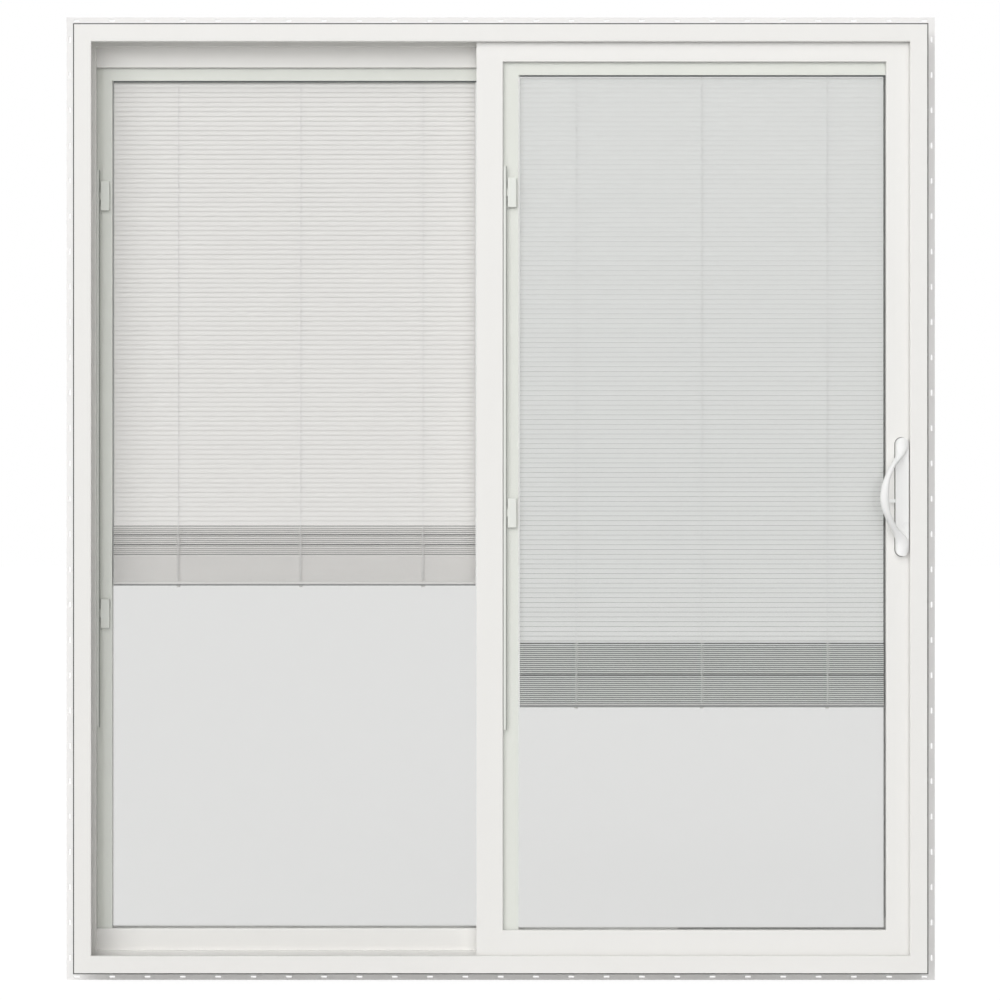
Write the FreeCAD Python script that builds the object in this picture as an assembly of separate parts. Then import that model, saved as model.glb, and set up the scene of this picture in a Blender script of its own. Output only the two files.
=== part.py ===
import FreeCAD, Part
import math
import os

os.makedirs("parts", exist_ok=True)

# A two-panel sliding patio door in white vinyl with blinds sealed between the panes.
# Millimetres. X runs to the right seen from the room, Y runs outdoors, Z is up.
# X = 0 is the middle of the frame and Z = 0 the underside of the sill. Y = 0 is the
# face of the nailing fin that lies against the wall sheathing. Depths count outdoors
# from the face that the room sees.

# The outer frame
FRAME_WIDTH = 1816.1
FRAME_HEIGHT = 2019.3
FRAME_DEPTH = 116.0
FIN_SETBACK = 81.0
FACE_WIDTH = 39.0
FACE_ROUND = 2.0
EDGE_REBATE_WIDTH = 2.6
EDGE_REBATE_DEPTH = 3.0
ROOM_FLANGE = 8.0
OUTDOOR_FLANGE = 10.0
OUTDOOR_FACE_WIDTH = 37.0
CHANNEL_FLOOR = 20.0
POCKET_FLOOR = 27.0
JAMB_POCKET_FLOOR = 7.0
DIVIDER_THICKNESS = 12.0

# The nailing fin and its slots
FIN_PROJECTION = 28.6
FIN_THICKNESS = 1.6
FIN_KERF = 3.0
FIN_STEP = 0.6
SLOT_OFFSET = 21.6
SLOT_WIDTH = 4.0
SLOT_LENGTH = 12.7
SLOT_PITCH = 76.2
SIDE_SLOTS = 27
END_SLOTS = 25

# The two glazed panels
PANEL_THICKNESS = 38.0
FACE_CLEARANCE = 5.0
EDGE_CLEARANCE = 7.0
MEETING_X = -23.3
MEETING_STILE = 56.4
LOCK_STILE = 60.55
HIDDEN_STILE = 30.05
SLIDING_TOP_RAIL = 52.7
SLIDING_BOTTOM_RAIL = 64.2
FIXED_TOP_RAIL = 54.7
FIXED_BOTTOM_RAIL = 57.5
BEAD_ROUND = 2.0

# The insulating glass
PANE_THICKNESS = 3.0
CAVITY = 19.4
GLASS_SETBACK = 6.3
GLASS_BITE = 14.0
SETTING_GAP = 3.0
SPACER_INSET = 2.0
SPACER_WIDTH = 7.0

# The interlock between the meeting stiles
HOOK_WALL = 1.0
HOOK_LEG = 1.5
HOOK_REACH = 12.0
HOOK_GAP = 5.0

# The roller rail in the sill, and the rollers
RAIL_HEIGHT = 14.0
RAIL_RIB = 3.0
RAIL_CAP = 0.8
ROLLER_GROOVE_WIDTH = 16.0
ROLLER_GROOVE_HEIGHT = 20.0
ROLLER_RADIUS = 12.5
ROLLER_WIDTH = 6.0
ROLLER_SPACING = 40.0
ROLLER_RUNNING_GAP = 0.3
AXLE_RADIUS = 3.0
CARRIAGE_LENGTH = 90.0
CARRIAGE_HEIGHT = 24.0
CARRIAGE_WALL = 1.5
CARRIAGE_SIDE_GAP = 1.0
CARRIAGE_INSET = 70.0

# The blinds between the panes
COVER_HEIGHT = 26.7
COVER_WIDTH = 33.0
COVER_GAP = 0.3
SLAT_WIDTH = 12.7
SLAT_THICKNESS = 0.25
SLAT_CROWN = 0.9
SLAT_PITCH = 10.28
SLAT_TILT = 72.0
SLAT_END_GAP = 3.0
SLAT_COUNT = 180
NEST_PITCH = 0.6
BLIND_RAIL_HEIGHT = 8.0
BLIND_RAIL_DEPTH = 13.6
BLIND_PLUG_RADIUS = 4.0
BLIND_PLUG_HEIGHT = 3.0
CORD_WIDTH = 1.0
CORD_THICKNESS = 0.7
CORD_GAP = 0.3
SLIDING_BLIND_DROP = 1374.9
SLIDING_STACK_HEIGHT = 129.0
SLIDING_STACK_LOOSENESS = 1.0
FIXED_BLIND_DROP = 1115.4
FIXED_STACK_HEIGHT = 123.3
FIXED_STACK_LOOSENESS = 8.7
# How far the outer ladders stand in from the opening's left and right sides
SLIDING_LADDER_INSETS = (156.0, 123.6)
FIXED_LADDER_INSETS = (175.0, 116.5)

# The slider track on the room side of each glass, and its two tabs
TRACK_INSET = 1.3
TRACK_WIDTH = 4.8
TRACK_DEPTH = 5.5
TRACK_ABOVE_SILL = 517.5
TRACK_BELOW_HEAD = 301.8
TRACK_GROOVE_DEPTH = 2.6
TRACK_GROOVE_HEIGHT = 2.4
TRACK_END_STOP = 3.0
TAB_WIDTH = 18.5
TAB_LENGTH = 63.0
TAB_OFFSET = 4.0
TAB_DEPTH = 5.5
TAB_RUNNING_GAP = 0.3
TAB_ROUND = 1.2
TAB_STEM = 16.0
TILT_TAB_DROP = 24.5
SLIDING_LIFT_TAB_RISE = 493.5
FIXED_LIFT_TAB_RISE = 276.5

# The room-side handle: a backplate, a bowed grip and a latch lever
HANDLE_FROM_EDGE = 28.4
HANDLE_HEIGHT = 1013.5
PLATE_WIDTH = 27.4
PLATE_LENGTH = 251.6
PLATE_THICKNESS = 10.0
PLATE_WALL = 2.0
GRIP_DEPTH = 14.0
# Each grip station: height from the plate's middle as a share of half its length, left
# edge from its centre line, width, and how far the grip's middle stands off the plate
GRIP_STATIONS = (
    (1.0, -13.4, 26.8, 0.0),
    (0.914, -13.4, 26.8, 0.0),
    (0.827, -13.4, 25.2, 1.0),
    (0.707, -14.6, 17.0, 6.0),
    (0.58, -24.5, 12.4, 16.0),
    (0.397, -39.0, 13.0, 28.5),
    (0.199, -49.0, 15.5, 36.5),
    (-0.052, -53.4, 18.8, 39.0),
    (-0.254, -47.0, 16.5, 34.5),
    (-0.453, -34.0, 15.5, 23.0),
    (-0.596, -23.5, 20.0, 11.0),
    (-0.731, -14.8, 26.6, 2.5),
    (-0.866, -13.4, 26.8, 0.0),
    (-1.0, -13.4, 26.8, 0.0),
)
LEVER_BELOW_MIDDLE = 8.5
LEVER_REACH = 29.5
LEVER_HEIGHT = 7.5
LEVER_THICKNESS = 2.7
LEVER_GAP = 0.3
LEVER_HUB_RADIUS = 7.0
LEVER_PIN_RADIUS = 2.5
LEVER_PIN_GAP = 0.05
LEVER_TURN = 45.0
LEVER_SLOT_GAP = 1.5

# The outdoor pull handle
PULL_PLATE_WIDTH = 22.0
PULL_PLATE_LENGTH = 200.0
PULL_PLATE_THICKNESS = 4.0
PULL_LENGTH = 160.0
PULL_PROJECTION = 42.0
PULL_GRIP_WIDTH = 16.0
PULL_GRIP_DEPTH = 12.0
PULL_BEND = 14.0

# The mortise lock and its keeper
LOCK_FACE_LENGTH = 180.0
LOCK_FACE_WIDTH = 22.0
LOCK_FACE_THICKNESS = 2.0
LOCK_CASE_LENGTH = 140.0
LOCK_CASE_WIDTH = 15.0
LOCK_CASE_REACH = 38.0
KEEPER_LENGTH = 130.0
KEEPER_WIDTH = 25.0
KEEPER_THICKNESS = 2.0
KEEPER_SLOT_LENGTH = 36.0
KEEPER_SLOT_WIDTH = 10.0

# Places worked out from the sizes
PANEL_EDGE = CHANNEL_FLOOR + EDGE_CLEARANCE
SLIDING_DEPTH = ROOM_FLANGE + FACE_CLEARANCE
DIVIDER_DEPTH = SLIDING_DEPTH + PANEL_THICKNESS + FACE_CLEARANCE
FIXED_DEPTH = DIVIDER_DEPTH + DIVIDER_THICKNESS
POCKET_BACK = FRAME_DEPTH - OUTDOOR_FLANGE
GLASS_THICKNESS = 2 * PANE_THICKNESS + CAVITY
RAIL_DEPTH = SLIDING_DEPTH + PANEL_THICKNESS / 2
RAIL_TOP = CHANNEL_FLOOR + RAIL_HEIGHT
MEETING_LEFT = MEETING_X - MEETING_STILE / 2
MEETING_RIGHT = MEETING_X + MEETING_STILE / 2

FRAME_OUTER = (-FRAME_WIDTH / 2, FRAME_WIDTH / 2, 0.0, FRAME_HEIGHT)
FRAME_INNER = (
    FRAME_OUTER[0] + FACE_WIDTH,
    FRAME_OUTER[1] - FACE_WIDTH,
    FACE_WIDTH,
    FRAME_HEIGHT - FACE_WIDTH,
)
SLIDING_OUTER = (
    MEETING_LEFT,
    FRAME_OUTER[1] - PANEL_EDGE,
    PANEL_EDGE,
    FRAME_HEIGHT - PANEL_EDGE,
)
SLIDING_OPENING = (
    MEETING_RIGHT,
    SLIDING_OUTER[1] - LOCK_STILE,
    SLIDING_OUTER[2] + SLIDING_BOTTOM_RAIL,
    SLIDING_OUTER[3] - SLIDING_TOP_RAIL,
)
FIXED_OUTER = (
    FRAME_OUTER[0] + JAMB_POCKET_FLOOR,
    MEETING_RIGHT,
    POCKET_FLOOR,
    FRAME_HEIGHT - POCKET_FLOOR,
)
FIXED_OPENING = (
    FIXED_OUTER[0] + HIDDEN_STILE,
    MEETING_LEFT,
    FIXED_OUTER[2] + FIXED_BOTTOM_RAIL,
    FIXED_OUTER[3] - FIXED_TOP_RAIL,
)
HANDLE_X = SLIDING_OUTER[1] - HANDLE_FROM_EDGE
PLATE_FRONT = SLIDING_DEPTH - PLATE_THICKNESS
LEVER_Z = HANDLE_HEIGHT - LEVER_BELOW_MIDDLE
TRACK_BOTTOM = TRACK_ABOVE_SILL
TRACK_TOP = FRAME_HEIGHT - TRACK_BELOW_HEAD

nodes = {}


def at(x, depth, z):
    """A point given by its depth behind the face that the room sees."""
    return FreeCAD.Vector(x, depth - FIN_SETBACK, z)


def block(x0, x1, depth0, depth1, z0, z1):
    """A box between two corners."""
    return Part.makeBox(x1 - x0, depth1 - depth0, z1 - z0, at(x0, depth0, z0))


def polygon(points):
    """A flat face through corner points."""
    return Part.Face(Part.makePolygon(list(points) + [points[0]]))


def fuse(shapes):
    """One solid from shapes that share faces or overlap."""
    return shapes[0].multiFuse(shapes[1:]).removeSplitter()


def inset(rectangle, distance):
    """A rectangle taken in on all four sides."""
    x0, x1, z0, z1 = rectangle
    return (x0 + distance, x1 - distance, z0 + distance, z1 - distance)


def rounded_outline(corners, place):
    """A closed wire; a corner with a third value is rounded to that radius."""
    spots = [FreeCAD.Vector(c[0], c[1], 0) for c in corners]
    starts, ends, arcs = [], [], []
    for i, corner in enumerate(corners):
        here = spots[i]
        if len(corner) < 3:
            starts.append(here)
            ends.append(here)
            arcs.append(None)
            continue
        back = (spots[i - 1] - here).normalize()
        ahead = (spots[(i + 1) % len(spots)] - here).normalize()
        half = back.getAngle(ahead) / 2
        middle = (back + ahead).normalize()
        reach = corner[2] / math.tan(half)
        starts.append(here + back * reach)
        ends.append(here + ahead * reach)
        arcs.append(here + middle * (corner[2] / math.sin(half) - corner[2]))
    edges = []
    for i in range(len(corners)):
        if arcs[i] is not None:
            points = [place(p.x, p.y) for p in (starts[i], arcs[i], ends[i])]
            edges.append(Part.Arc(*points).toShape())
        following = (i + 1) % len(corners)
        edges.append(
            Part.makeLine(
                place(ends[i].x, ends[i].y),
                place(starts[following].x, starts[following].y),
            )
        )
    return Part.Wire(edges)


def mitre_block(side, outer, opening):
    """The wedge that one member of a mitred rectangle keeps to."""
    past = 1.02
    x0, x1, z0, z1 = outer
    corner = {}
    for i, x in ((0, x0), (1, x1)):
        for j, z in ((2, z0), (3, z1)):
            corner[i, j] = (
                FreeCAD.Vector(x, 0, z),
                FreeCAD.Vector(x + (opening[i] - x) * past, 0, z + (opening[j] - z) * past),
            )
    ends = {
        "left": ((0, 2), (0, 3)),
        "right": ((1, 2), (1, 3)),
        "bottom": ((0, 2), (1, 2)),
        "top": ((0, 3), (1, 3)),
    }[side]
    (a, a_in), (b, b_in) = corner[ends[0]], corner[ends[1]]
    wedge = polygon([a, b, b_in, a_in])
    wedge.translate(FreeCAD.Vector(0, -FRAME_DEPTH * 2, 0))
    return wedge.extrude(FreeCAD.Vector(0, FRAME_DEPTH * 4, 0))


def member(side, section, outer, opening, front=0.0):
    """One mitred bar: section points are (distance from the outer edge, depth)."""
    x0, x1, z0, z1 = outer
    place = {
        "left": lambda u, d: at(x0 + u, front + d, z0),
        "right": lambda u, d: at(x1 - u, front + d, z0),
        "bottom": lambda u, d: at(x0, front + d, z0 + u),
        "top": lambda u, d: at(x0, front + d, z1 - u),
    }[side]
    upright = side in ("left", "right")
    run = FreeCAD.Vector(0, 0, z1 - z0) if upright else FreeCAD.Vector(x1 - x0, 0, 0)
    bar = Part.Face(rounded_outline(section, place)).extrude(run)
    return bar.common(mitre_block(side, outer, opening))


def frame_section(pocket_floor, with_rail=False):
    """The frame's section: room flange, running channel, divider, fixed pocket."""
    section = [
        (0, EDGE_REBATE_DEPTH),
        (EDGE_REBATE_WIDTH, EDGE_REBATE_DEPTH),
        (EDGE_REBATE_WIDTH, 0),
        (FACE_WIDTH, 0, FACE_ROUND),
        (FACE_WIDTH, ROOM_FLANGE),
        (CHANNEL_FLOOR, ROOM_FLANGE),
    ]
    if with_rail:
        section += [
            (CHANNEL_FLOOR, RAIL_DEPTH - RAIL_RIB / 2),
            (RAIL_TOP - RAIL_CAP, RAIL_DEPTH - RAIL_RIB / 2),
            (RAIL_TOP - RAIL_CAP, RAIL_DEPTH + RAIL_RIB / 2),
            (CHANNEL_FLOOR, RAIL_DEPTH + RAIL_RIB / 2),
        ]
    section += [
        (CHANNEL_FLOOR, DIVIDER_DEPTH),
        (FACE_WIDTH, DIVIDER_DEPTH),
        (FACE_WIDTH, FIXED_DEPTH),
        (pocket_floor, FIXED_DEPTH),
        (pocket_floor, POCKET_BACK),
        (OUTDOOR_FACE_WIDTH, POCKET_BACK),
        (OUTDOOR_FACE_WIDTH, FRAME_DEPTH, FACE_ROUND),
        (0, FRAME_DEPTH),
        (0, FIN_SETBACK + FIN_THICKNESS),
        (FIN_KERF, FIN_SETBACK + FIN_THICKNESS),
        (FIN_KERF, FIN_SETBACK + FIN_STEP),
        (0, FIN_SETBACK + FIN_STEP),
    ]
    return section


def panel_section(width):
    """A stile or rail: a bar with a glazing pocket in its inner edge."""
    pocket = width - GLASS_BITE - SETTING_GAP
    back = GLASS_SETBACK + GLASS_THICKNESS
    return [
        (0, 0),
        (width, 0, BEAD_ROUND),
        (width, GLASS_SETBACK),
        (pocket, GLASS_SETBACK),
        (pocket, back),
        (width, back),
        (width, PANEL_THICKNESS, BEAD_ROUND),
        (0, PANEL_THICKNESS),
    ]


def slot_wire(x, z, upright):
    """A slot with round ends, centred on a point of the fin."""
    radius = SLOT_WIDTH / 2
    straight = SLOT_LENGTH / 2 - radius
    along = FreeCAD.Vector(0, 0, 1) if upright else FreeCAD.Vector(1, 0, 0)
    across = FreeCAD.Vector(1, 0, 0) if upright else FreeCAD.Vector(0, 0, 1)
    middle = at(x, FIN_SETBACK, z)
    near, far = middle - along * straight, middle + along * straight
    return Part.Wire(
        [
            Part.makeLine(near + across * radius, far + across * radius),
            Part.Arc(
                far + across * radius, far + along * radius, far - across * radius
            ).toShape(),
            Part.makeLine(far - across * radius, near - across * radius),
            Part.Arc(
                near - across * radius, near - along * radius, near + across * radius
            ).toShape(),
        ]
    )


def mitred_strip(side, outer, inner, depth0, depth1):
    """A flat strip between two rectangles, mitred at its ends."""
    x0, x1, z0, z1 = outer
    a0, a1, b0, b1 = inner
    corners = {
        "left": ((x0, z0), (x0, z1), (a0, b1), (a0, b0)),
        "right": ((x1, z0), (x1, z1), (a1, b1), (a1, b0)),
        "bottom": ((x0, z0), (x1, z0), (a1, b0), (a0, b0)),
        "top": ((x0, z1), (x1, z1), (a1, b1), (a0, b1)),
    }[side]
    face = polygon([at(x, depth0, z) for x, z in corners])
    return face.extrude(FreeCAD.Vector(0, depth1 - depth0, 0))


def nail_fin(side):
    """One mitred strip of the fin with its row of slots, and its tongue in the frame."""
    upright = side in ("left", "right")
    back = FIN_SETBACK + FIN_THICKNESS
    rim = inset(FRAME_OUTER, -FIN_PROJECTION)
    seat = inset(FRAME_OUTER, FIN_KERF)
    strip = mitred_strip(side, rim, FRAME_OUTER, FIN_SETBACK, back)
    tongue = mitred_strip(side, rim, seat, FIN_SETBACK + FIN_STEP, back)
    count = SIDE_SLOTS if upright else END_SLOTS
    holes = []
    for i in range(count):
        along = (i - (count - 1) / 2) * SLOT_PITCH
        if side == "left":
            holes.append(slot_wire(FRAME_OUTER[0] - SLOT_OFFSET, FRAME_HEIGHT / 2 + along, True))
        elif side == "right":
            holes.append(slot_wire(FRAME_OUTER[1] + SLOT_OFFSET, FRAME_HEIGHT / 2 + along, True))
        elif side == "bottom":
            holes.append(slot_wire(along, -SLOT_OFFSET, False))
        else:
            holes.append(slot_wire(along, FRAME_HEIGHT + SLOT_OFFSET, False))
    cutters = [Part.Face(w).extrude(FreeCAD.Vector(0, FIN_THICKNESS, 0)) for w in holes]
    return fuse([strip, tongue]).cut(Part.makeCompound(cutters))


def make_frame():
    """Head, sill, jambs, fins, and the roller rail's cap."""
    for name, side, floor, rail in (
        ("frame_head", "top", POCKET_FLOOR, False),
        ("frame_sill", "bottom", POCKET_FLOOR, True),
        ("frame_jamb_left", "left", JAMB_POCKET_FLOOR, False),
        ("frame_jamb_right", "right", POCKET_FLOOR, False),
    ):
        nodes[name] = member(side, frame_section(floor, rail), FRAME_OUTER, FRAME_INNER)
    for side in ("top", "bottom", "left", "right"):
        nodes["nail_fin_" + side] = nail_fin(side)
    half = RAIL_RIB / 2 + RAIL_CAP
    x0, x1 = FRAME_OUTER[0] + FACE_WIDTH, FRAME_OUTER[1] - FACE_WIDTH
    cap = block(x0, x1, RAIL_DEPTH - half, RAIL_DEPTH + half, CHANNEL_FLOOR, RAIL_TOP)
    rib = block(
        x0,
        x1,
        RAIL_DEPTH - RAIL_RIB / 2,
        RAIL_DEPTH + RAIL_RIB / 2,
        CHANNEL_FLOOR,
        RAIL_TOP - RAIL_CAP,
    )
    nodes["sill_track"] = cap.cut(rib)


def hook(x_leg, x_tip, depth_root, depth_lip, depth_end):
    """An interlock hook: a leg off the stile's face and a lip along it."""
    z0 = FACE_WIDTH + HOOK_GAP
    z1 = FRAME_HEIGHT - FACE_WIDTH - HOOK_GAP
    leg_far = x_leg + math.copysign(HOOK_LEG, x_tip - x_leg)
    leg = block(
        min(x_leg, leg_far),
        max(x_leg, leg_far),
        min(depth_root, depth_end),
        max(depth_root, depth_end),
        z0,
        z1,
    )
    lip = block(
        min(x_leg, x_tip),
        max(x_leg, x_tip),
        min(depth_lip, depth_end),
        max(depth_lip, depth_end),
        z0,
        z1,
    )
    return leg, lip


def make_fixed_panel():
    """The fixed panel's rails and stiles, with its half of the interlock."""
    for name, side, width in (
        ("fixed_top_rail", "top", FIXED_TOP_RAIL),
        ("fixed_bottom_rail", "bottom", FIXED_BOTTOM_RAIL),
        ("fixed_jamb_stile", "left", HIDDEN_STILE),
        ("fixed_meeting_stile", "right", MEETING_STILE),
    ):
        nodes[name] = member(
            side, panel_section(width), FIXED_OUTER, FIXED_OPENING, FIXED_DEPTH
        )
    leg_x = MEETING_LEFT + HOOK_REACH + HOOK_GAP + HOOK_LEG
    tip_x = MEETING_LEFT + HOOK_LEG + HOOK_GAP
    leg, lip = hook(leg_x, tip_x, FIXED_DEPTH, DIVIDER_DEPTH + HOOK_WALL, DIVIDER_DEPTH)
    nodes["fixed_meeting_stile"] = fuse([nodes["fixed_meeting_stile"], leg, lip])


def make_sliding_panel():
    """The sliding panel's rails and stiles, with the pockets cut in them."""
    for name, side, width in (
        ("sliding_top_rail", "top", SLIDING_TOP_RAIL),
        ("sliding_bottom_rail", "bottom", SLIDING_BOTTOM_RAIL),
        ("sliding_interlock_stile", "left", MEETING_STILE),
        ("sliding_lock_stile", "right", LOCK_STILE),
    ):
        nodes[name] = member(
            side, panel_section(width), SLIDING_OUTER, SLIDING_OPENING, SLIDING_DEPTH
        )
    lip_end = FIXED_DEPTH - HOOK_GAP
    leg, lip = hook(
        MEETING_LEFT,
        MEETING_LEFT + HOOK_REACH,
        SLIDING_DEPTH + PANEL_THICKNESS,
        lip_end - HOOK_WALL,
        lip_end,
    )
    nodes["sliding_interlock_stile"] = fuse([nodes["sliding_interlock_stile"], leg, lip])
    groove = block(
        SLIDING_OUTER[0] - EDGE_CLEARANCE,
        SLIDING_OUTER[1] + EDGE_CLEARANCE,
        RAIL_DEPTH - ROLLER_GROOVE_WIDTH / 2,
        RAIL_DEPTH + ROLLER_GROOVE_WIDTH / 2,
        SLIDING_OUTER[2] - EDGE_CLEARANCE,
        SLIDING_OUTER[2] + ROLLER_GROOVE_HEIGHT,
    )
    for name in ("sliding_bottom_rail", "sliding_interlock_stile", "sliding_lock_stile"):
        nodes[name] = nodes[name].cut(groove)


def make_rollers():
    """Two tandem carriages let into the bottom rail, running on the sill's rail."""
    wheel_z = RAIL_TOP + ROLLER_RUNNING_GAP + ROLLER_RADIUS
    top = wheel_z + ROLLER_RADIUS + CARRIAGE_WALL + ROLLER_RUNNING_GAP
    half = ROLLER_GROOVE_WIDTH / 2 - CARRIAGE_SIDE_GAP
    pieces = []
    for middle in (
        SLIDING_OPENING[0] + CARRIAGE_INSET,
        SLIDING_OPENING[1] - CARRIAGE_INSET,
    ):
        x0, x1 = middle - CARRIAGE_LENGTH / 2, middle + CARRIAGE_LENGTH / 2
        housing = block(
            x0, x1, RAIL_DEPTH - half, RAIL_DEPTH + half, top - CARRIAGE_HEIGHT, top
        )
        hollow = block(
            x0 - CARRIAGE_WALL,
            x1 + CARRIAGE_WALL,
            RAIL_DEPTH - half + CARRIAGE_WALL,
            RAIL_DEPTH + half - CARRIAGE_WALL,
            top - CARRIAGE_HEIGHT - CARRIAGE_WALL,
            top - CARRIAGE_WALL,
        )
        housing = housing.cut(hollow)
        for x in (middle - ROLLER_SPACING / 2, middle + ROLLER_SPACING / 2):
            along = FreeCAD.Vector(0, 1, 0)
            axle = Part.makeCylinder(
                AXLE_RADIUS, 2 * half, at(x, RAIL_DEPTH - half, wheel_z), along
            )
            housing = housing.fuse(axle)
            start = at(x, RAIL_DEPTH - ROLLER_WIDTH / 2, wheel_z)
            wheel = Part.makeCylinder(ROLLER_RADIUS, ROLLER_WIDTH, start, along)
            bore = Part.makeCylinder(
                AXLE_RADIUS + ROLLER_RUNNING_GAP / 2, ROLLER_WIDTH, start, along
            )
            pieces.append(wheel.cut(bore))
        pieces.append(housing.removeSplitter())
        pocket = block(
            x0,
            x1,
            RAIL_DEPTH - ROLLER_GROOVE_WIDTH / 2,
            RAIL_DEPTH + ROLLER_GROOVE_WIDTH / 2,
            SLIDING_OUTER[2],
            top,
        )
        nodes["sliding_bottom_rail"] = nodes["sliding_bottom_rail"].cut(pocket)
    nodes["door_rollers"] = Part.makeCompound(pieces)


def make_glass(prefix, opening, front):
    """Two panes and the spacer bar sealed between them."""
    x0, x1, z0, z1 = inset(opening, -GLASS_BITE)
    glass = front + GLASS_SETBACK
    panes = [
        block(x0, x1, d, d + PANE_THICKNESS, z0, z1)
        for d in (glass, glass + PANE_THICKNESS + CAVITY)
    ]
    nodes[prefix + "_glass_panes"] = Part.makeCompound(panes)
    ring = []
    for distance in (SPACER_INSET, SPACER_INSET + SPACER_WIDTH):
        a0, a1, b0, b1 = inset((x0, x1, z0, z1), distance)
        ring.append(
            block(a0, a1, glass + PANE_THICKNESS, glass + PANE_THICKNESS + CAVITY, b0, b1)
        )
    nodes[prefix + "_glass_spacer"] = ring[0].cut(ring[1])


def slat(x0, x1, depth, z, tilt):
    """One crowned slat; the tilt drops its room-side edge."""
    half = SLAT_WIDTH / 2
    corners = (
        (-half, 0),
        (0, SLAT_CROWN),
        (half, 0),
        (half, SLAT_THICKNESS),
        (0, SLAT_CROWN + SLAT_THICKNESS),
        (-half, SLAT_THICKNESS),
    )
    turn = math.radians(tilt)
    points = []
    for across, up in corners:
        out = across * math.cos(turn) - up * math.sin(turn)
        rise = across * math.sin(turn) + up * math.cos(turn)
        points.append(at(x0, depth + out, z + rise))
    return polygon(points).extrude(FreeCAD.Vector(x1 - x0, 0, 0))


def ladder_cord(x, depth, side, top, knee, bottom):
    """One upright of a ladder cord: close to the tilted slats, wide round the stack."""
    turn = math.radians(SLAT_TILT)
    lean = math.cos(turn) * SLAT_WIDTH / 2 + math.sin(turn) * SLAT_THICKNESS
    slim = lean + CORD_GAP
    wide = SLAT_WIDTH / 2 + CORD_GAP
    heights = (top, knee + SLAT_PITCH, knee, bottom)
    inner = [at(x, depth + side * w, z) for w, z in zip((slim, slim, wide, wide), heights)]
    shift = FreeCAD.Vector(0, side * CORD_THICKNESS, 0)
    outer = [p + shift for p in reversed(inner)]
    return polygon(inner + outer).extrude(FreeCAD.Vector(CORD_WIDTH, 0, 0))


def make_blind(prefix, opening, front, drop, stack, looseness, ladders):
    """Cover strips, slats, ladder cords and bottom rail of one part-lowered blind."""
    cavity = front + GLASS_SETBACK + PANE_THICKNESS
    middle = cavity + CAVITY / 2
    reach = GLASS_BITE - SPACER_INSET - SPACER_WIDTH
    x0, x1, z0, z1 = opening
    near, far = cavity + COVER_GAP, cavity + CAVITY - COVER_GAP
    head = block(x0 - reach, x1 + reach, near, far, z1 - COVER_HEIGHT, z1 + reach)
    side = block(x0 - reach, x0 + COVER_WIDTH, near, far, z0 - reach, z1 + reach)
    nodes[prefix + "_blind_cover"] = fuse([head, side])

    a0, a1 = x0 + COVER_WIDTH + SLAT_END_GAP, x1 - SLAT_END_GAP
    top = z1 - COVER_HEIGHT
    rail_bottom = z1 - drop
    rail_top = rail_bottom + BLIND_RAIL_HEIGHT
    stack_top = rail_top + stack
    hanging = int((top - SLAT_WIDTH / 2 - stack_top) / SLAT_PITCH) + 1
    slats = []
    for i in range(hanging):
        z = top - SLAT_WIDTH / 2 - 1 - i * SLAT_PITCH
        slats.append(slat(a0, a1, middle, z, SLAT_TILT))
    stacked = SLAT_COUNT - hanging
    lowest = rail_top + NEST_PITCH / 2
    spare = stack - SLAT_WIDTH - stacked * NEST_PITCH
    for i in range(stacked):
        z = lowest + i * NEST_PITCH + spare * (i / stacked) ** looseness
        slats.append(slat(a0, a1, middle, z, 0.0))
    nodes[prefix + "_blind_slats"] = Part.makeCompound(slats)

    half = BLIND_RAIL_DEPTH / 2
    pieces = [block(a0, a1, middle - half, middle + half, rail_bottom, rail_top)]
    cords = []
    left, right = x0 + ladders[0], x1 - ladders[1]
    for x in (left, (left + right) / 2, right):
        pieces.append(
            Part.makeCylinder(
                BLIND_PLUG_RADIUS,
                BLIND_PLUG_HEIGHT,
                at(x, middle, rail_bottom - BLIND_PLUG_HEIGHT),
            )
        )
        for side_sign in (-1, 1):
            cords.append(
                ladder_cord(
                    x - CORD_WIDTH / 2, middle, side_sign, top, stack_top - SLAT_WIDTH, rail_top
                )
            )
    nodes[prefix + "_blind_bottom_rail"] = fuse(pieces)
    nodes[prefix + "_ladder_cords"] = Part.makeCompound(cords)


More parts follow.
